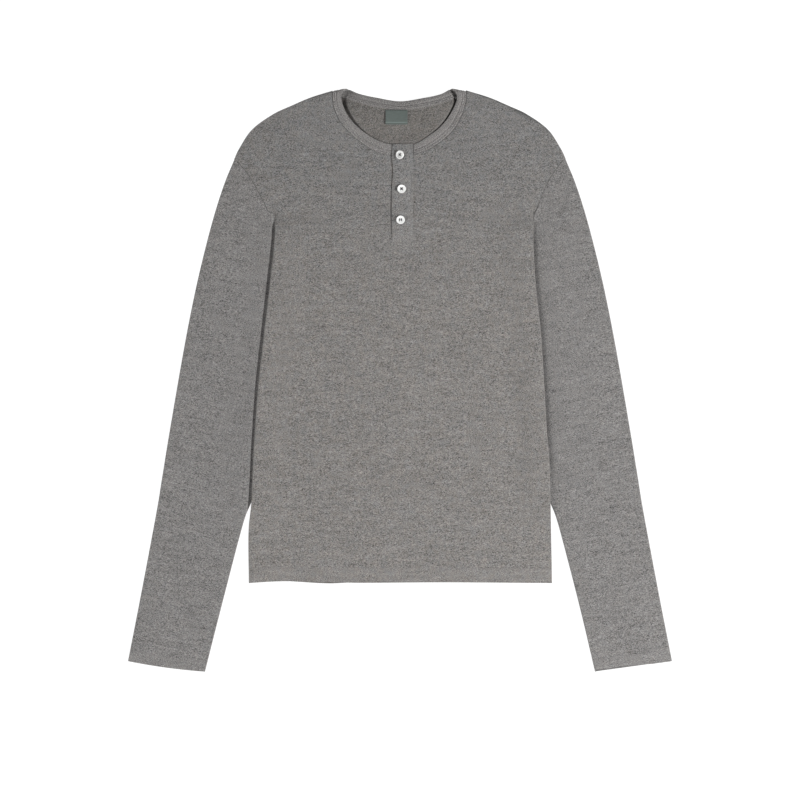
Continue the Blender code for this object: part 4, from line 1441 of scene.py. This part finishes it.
def heather(name, colour, turn=0.0, on_strip=False, tint=0.034, painted_yoke_shade=False):
    """Melange jersey: lighter and darker fibres in the yarn, along the courses of a fine knit."""
    finish, tree, shader = new_finish(name)
    place = add_node(tree, "ShaderNodeTexCoord").outputs["UV" if on_strip else "Object"]
    grain = mapping(tree, place, turn=turn)
    flecks = stretched_noise(tree, grain, FLECK, 1.0)
    fibres = stretched_noise(tree, grain, FIBRE, 0.0)
    streaks = stretched_noise(tree, grain, STREAK, 0.0)
    mottle = noise_texture(tree, grain, 2.0, 0.6, 1 / MOTTLE)
    value = around(tree, flecks, FLECK_CONTRAST, 1.0)
    layers = ((fibres, FIBRE_CONTRAST), (mottle, MOTTLE_CONTRAST), (streaks, STREAK_CONTRAST))
    for texture, contrast in layers:
        value = math_node(tree, "ADD", value, around(tree, texture, contrast))
    # Per-point tone: lighter hems, the darker back of the neckband, and painted shade and highlight at the
    # shoulder rim and the cuff.
    lighter = add_node(tree, "ShaderNodeAttribute", attribute_name="lighter").outputs["Fac"]
    value = math_node(tree, "MULTIPLY", value, math_node(tree, "ADD", lighter, 1.0))
    hue = noise_texture(tree, grain, 2.0, 0.6, 1 / HUE_PATCH)
    # Painted shade: the front and the placket darker towards the neck; their hue also turns a little cooler.
    if painted_yoke_shade:
        upper = add_node(tree, "ShaderNodeMapRange", interpolation_type="SMOOTHSTEP")
        upper.inputs["From Min"].default_value, upper.inputs["From Max"].default_value = YOKE_RANGE
        split = add_node(tree, "ShaderNodeSeparateXYZ")
        tree.links.new(place, split.inputs[0])
        tree.links.new(split.outputs["Y"], upper.inputs["Value"])
        shade = math_node(tree, "MULTIPLY_ADD", upper.outputs[0], -YOKE_PAINTED_SHADE, 1.0)
        value = math_node(tree, "MULTIPLY", value, shade)
        hue = math_node(tree, "MULTIPLY_ADD", upper.outputs[0], -YOKE_COOLER, hue)
    cool = tuple(channel * share for channel, share in zip(colour, (1 - tint, 1.0, 1 + tint)))
    warm = tuple(channel * share for channel, share in zip(colour, (1 + tint, 1.0, 1 - tint)))
    tree.links.new(tinted(tree, hue, cool, warm, value), shader.inputs["Base Color"])
    wales = wave_texture(tree, grain, "X", WALE)
    courses = wave_texture(tree, grain, "Y", COURSE)
    knit = math_node(tree, "MULTIPLY_ADD", courses, COURSE_DEPTH, wales)
    fuzz = noise_texture(tree, grain, 3.0, 0.7, 1 / FUZZ)
    bump(tree, math_node(tree, "MULTIPLY_ADD", fuzz, FUZZ_DEPTH, knit), KNIT_BUMP, shader)
    shader.inputs["Roughness"].default_value = 0.94
    shader.inputs["Specular IOR Level"].default_value = 0.2
    shader.inputs["Sheen Weight"].default_value = 0.12
    shader.inputs["Sheen Roughness"].default_value = 0.6
    return finish


def spun_thread(name, colour):
    finish, tree, shader = new_finish(name)
    place = add_node(tree, "ShaderNodeTexCoord").outputs["Object"]
    fuzz = noise_texture(tree, place, 2.0, 0.6, 1 / THREAD_FUZZ)
    value = math_node(tree, "MULTIPLY_ADD", fuzz, 0.7, 0.65)
    warm = tuple(channel * 1.04 for channel in colour)
    tree.links.new(tinted(tree, fuzz, colour, warm, value), shader.inputs["Base Color"])
    bump(tree, wave_texture(tree, place, "DIAGONAL", THREAD_TWIST, 1.0), THREAD_BUMP, shader)
    shader.inputs["Roughness"].default_value = 0.8
    shader.inputs["Sheen Weight"].default_value = 0.1
    return finish


def button_white(name):
    """White resin with a faint cloud in it and a soft polish."""
    finish, tree, shader = new_finish(name)
    place = add_node(tree, "ShaderNodeTexCoord").outputs["Object"]
    cloud = noise_texture(tree, place, 3.0, 0.55, 1 / RESIN_CLOUD)
    value = math_node(tree, "MULTIPLY_ADD", cloud, 0.12, 0.93)
    colour = tinted(tree, cloud, (0.83, 0.84, 0.84), (0.86, 0.85, 0.82), value)
    tree.links.new(colour, shader.inputs["Base Color"])
    scuffs = noise_texture(tree, place, 4.0, 0.6, 1 / RESIN_SCUFF)
    tree.links.new(math_node(tree, "MULTIPLY_ADD", scuffs, 0.18, 0.22), shader.inputs["Roughness"])
    bump(tree, scuffs, RESIN_BUMP, shader)
    shader.inputs["Coat Weight"].default_value = 0.25
    shader.inputs["Coat Roughness"].default_value = 0.2
    return finish


def woven_tape(name):
    """Satin-woven label, bare, with a lighter thread along its fold."""
    finish, tree, shader = new_finish(name)
    place = add_node(tree, "ShaderNodeTexCoord").outputs["Object"]
    weft = wave_texture(tree, place, "Y", WEFT)
    warp = wave_texture(tree, place, "X", WARP)
    slub = noise_texture(tree, mapping(tree, place, (1 / SLUB[0], 1 / SLUB[1], 1)), 2.0)
    split = add_node(tree, "ShaderNodeSeparateXYZ")
    tree.links.new(place, split.inputs[0])
    line = LABEL_CENTRE[1] - LABEL_SIZE[1] / 2 + LABEL_FOLD
    near = math_node(tree, "COMPARE", split.outputs["Y"], line, LABEL_FOLD_REACH)
    value = math_node(tree, "MULTIPLY_ADD", slub, 0.5, 0.75)
    value = math_node(tree, "MULTIPLY_ADD", near, 0.9, value)
    colour = tinted(tree, slub, (0.073, 0.095, 0.088), (0.084, 0.101, 0.092), value)
    tree.links.new(colour, shader.inputs["Base Color"])
    bump(tree, math_node(tree, "MULTIPLY_ADD", warp, WARP_DEPTH, weft), TAPE_BUMP, shader)
    shader.inputs["Roughness"].default_value = 0.7
    shader.inputs["Sheen Weight"].default_value = 0.2
    return finish


# The studio

VIEW_WIDTH = 1.088  # what the camera sees across the floor
VIEW_CENTRE = (0.0, -0.0265)
LENS = 85.0
SENSOR = 36.0
FLOOR_DROP = 0.0002


def floor():
    deselect()
    bpy.ops.mesh.primitive_plane_add(size=8, location=(0, 0, -FLOOR_DROP))
    ground = bpy.context.object
    ground.name = "floor"
    finish, _, shader = new_finish("pale floor")
    shader.inputs["Base Color"].default_value = (0.10, 0.10, 0.10, 1)
    shader.inputs["Roughness"].default_value = 1.0
    shader.inputs["Specular IOR Level"].default_value = 0.0
    shader.inputs["Emission Color"].default_value = (1, 1, 1, 1)
    shader.inputs["Emission Strength"].default_value = 0.98
    ground.data.materials.append(finish)


def area_light(name, place, size, power):
    light = bpy.data.lights.new(name, "AREA")
    light.shape = "SQUARE"
    light.size = size
    light.energy = power
    lamp = bpy.data.objects.new(name, light)
    lamp.location = place
    lamp.rotation_euler = (-Vector(place)).to_track_quat("-Z", "Y").to_euler()
    bpy.context.scene.collection.objects.link(lamp)


def studio():
    floor()
    world = bpy.data.worlds.new("studio")
    world.use_nodes = True
    world.node_tree.nodes["Background"].inputs["Color"].default_value = (1, 1, 1, 1)
    world.node_tree.nodes["Background"].inputs["Strength"].default_value = 0.10
    bpy.context.scene.world = world
    area_light("right softbox", (3.0, -0.35, 1.95), 0.36, 174)
    area_light("left fill", (-3.2, -0.9, 1.0), 1.5, 119)
    area_light("lower fill", (0.3, -1.7, 1.3), 0.7, 11)
    camera = bpy.data.objects.new("camera", bpy.data.cameras.new("camera"))
    camera.data.lens = LENS
    camera.data.sensor_width = SENSOR
    camera.location = (*VIEW_CENTRE, VIEW_WIDTH * LENS / SENSOR)
    bpy.context.scene.collection.objects.link(camera)
    bpy.context.scene.camera = camera
    bpy.context.scene.view_settings.view_transform = "Standard"


# The shirt

def place(piece, slot, *nodes):
    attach(piece, "root")
    if nodes:
        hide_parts(*nodes)


def sleeve_turn(side):
    """How far a sleeve's grain is turned from the body's."""
    outer = SLEEVE_ENDS[side][0]
    along = outer(CUFF_PLACE) - outer(3)
    return math.atan2(along.x, -along.y)


def build():
    studio()
    front_jersey = heather("front jersey", (0.184, 0.175, 0.167), tint=0.075, painted_yoke_shade=True)
    placket_jersey = heather("placket jersey", (0.196, 0.188, 0.181), tint=0.07, painted_yoke_shade=True)
    # Darker for the cloth's wrong side, and partly painted shade for the back seen inside the neck.
    back_jersey_and_painted_shade = heather("back jersey, wrong side and painted neck shade", (0.134, 0.126, 0.118), tint=0.06)
    right_jersey = heather("right sleeve jersey", (0.177, 0.171, 0.167), turn=-sleeve_turn(-1))
    left_jersey = heather("left sleeve jersey", (0.175, 0.169, 0.165), turn=-sleeve_turn(1))
    band_jersey = heather("neckband jersey", (0.195, 0.187, 0.182), on_strip=True)
    grey_thread = spun_thread("grey thread", (0.20, 0.192, 0.187))
    seam_thread = spun_thread("seam thread", (0.125, 0.12, 0.116))
    # Painted shade: a dark thread that stands for the shaded line along the armhole seams.
    armhole_shade_thread = spun_thread("armhole thread", (0.065, 0.062, 0.060))
    pale_thread = spun_thread("pale thread", (0.30, 0.285, 0.272))
    dark_thread = spun_thread("dark button thread", (0.035, 0.036, 0.038))
    tape = woven_tape("woven tape")
    resin = button_white("white resin")

    shown = [BACK_RINGS_SHOWN * step for step in evenly(BACK_RINGS[0])]
    beyond = [BACK_RINGS_SHOWN + (1 - BACK_RINGS_SHOWN) * step for step in evenly(BACK_RINGS[1])[1:]]
    back = body_panel("back_cloth", back_neckline(), shown + beyond, BACK_HEM, back_surface, back_jersey_and_painted_shade)
    rings = evenly(FRONT_RINGS)
    front = body_panel("front_cloth", front_neckline(), rings, FRONT_HEM, front_surface, front_jersey)
    cut_notch(front)
    mark_lighter(front, front_tones)
    right = sleeve("sleeve_right_cloth", -1, right_jersey)
    left = sleeve("sleeve_left_cloth", 1, left_jersey)
    mark_lighter(right, cuff_tones(-1))
    mark_lighter(left, cuff_tones(1))
    band = neckband("neckband_cloth", band_jersey)
    mark_lighter(band, band_tones)
    top = placket_top("placket_top_cloth", placket_jersey)
    under = placket_under("placket_under_cloth", back_jersey_and_painted_shade)
    tag = label("neck_label_tape", tape)

    stitch = model_stitch()
    seam_stitch = model_seam_stitch(stitch)
    rows = (
        ("hem_stitching", hem_paths(), stitch, grey_thread),
        ("right_cuff_stitching", cuff_paths(-1), stitch, grey_thread),
        ("left_cuff_stitching", cuff_paths(1), stitch, grey_thread),
        ("placket_stitching", placket_paths(), stitch, grey_thread),
        ("neckband_stitching", band_paths(), stitch, seam_thread),
        ("armhole_stitching_painted_shade", armhole_paths(), seam_stitch, armhole_shade_thread),
        ("label_stitching", label_paths(), stitch, dark_thread),
        ("back_neck_stitching", back_neck_path(), stitch, pale_thread),
    )
    sewn = {row[0]: stitching(*row) for row in rows}
    bpy.data.objects.remove(seam_stitch)
    bpy.data.objects.remove(stitch)

    for piece in (back, front, right, left):
        place(piece, "jersey", piece.name.removesuffix("_cloth"))
    for piece in (band, top, under):
        place(piece, "neckband_jersey", piece.name.removesuffix("_cloth"))
    place(tag, "woven_label", "neck_label")
    for name, piece in sewn.items():
        place(piece, "woven_label" if name == "label_stitching" else "jersey")

    master = model_button(resin)
    holes = []
    for number, row in enumerate(BUTTONS, start=1):
        button = master.copy()
        button.data = master.data.copy()
        button.name = f"button_{number}_resin"
        bpy.context.scene.collection.objects.link(button)
        button.data.transform(button_place(row))
        place(button, "button", f"button_{number}")
        place(button_thread(number, row, number < 3, dark_thread), "jersey")
        holes.append(buttonhole(number, row, grey_thread))
        place(holes[-1], "neckband_jersey")
    bpy.data.objects.remove(master)


build()
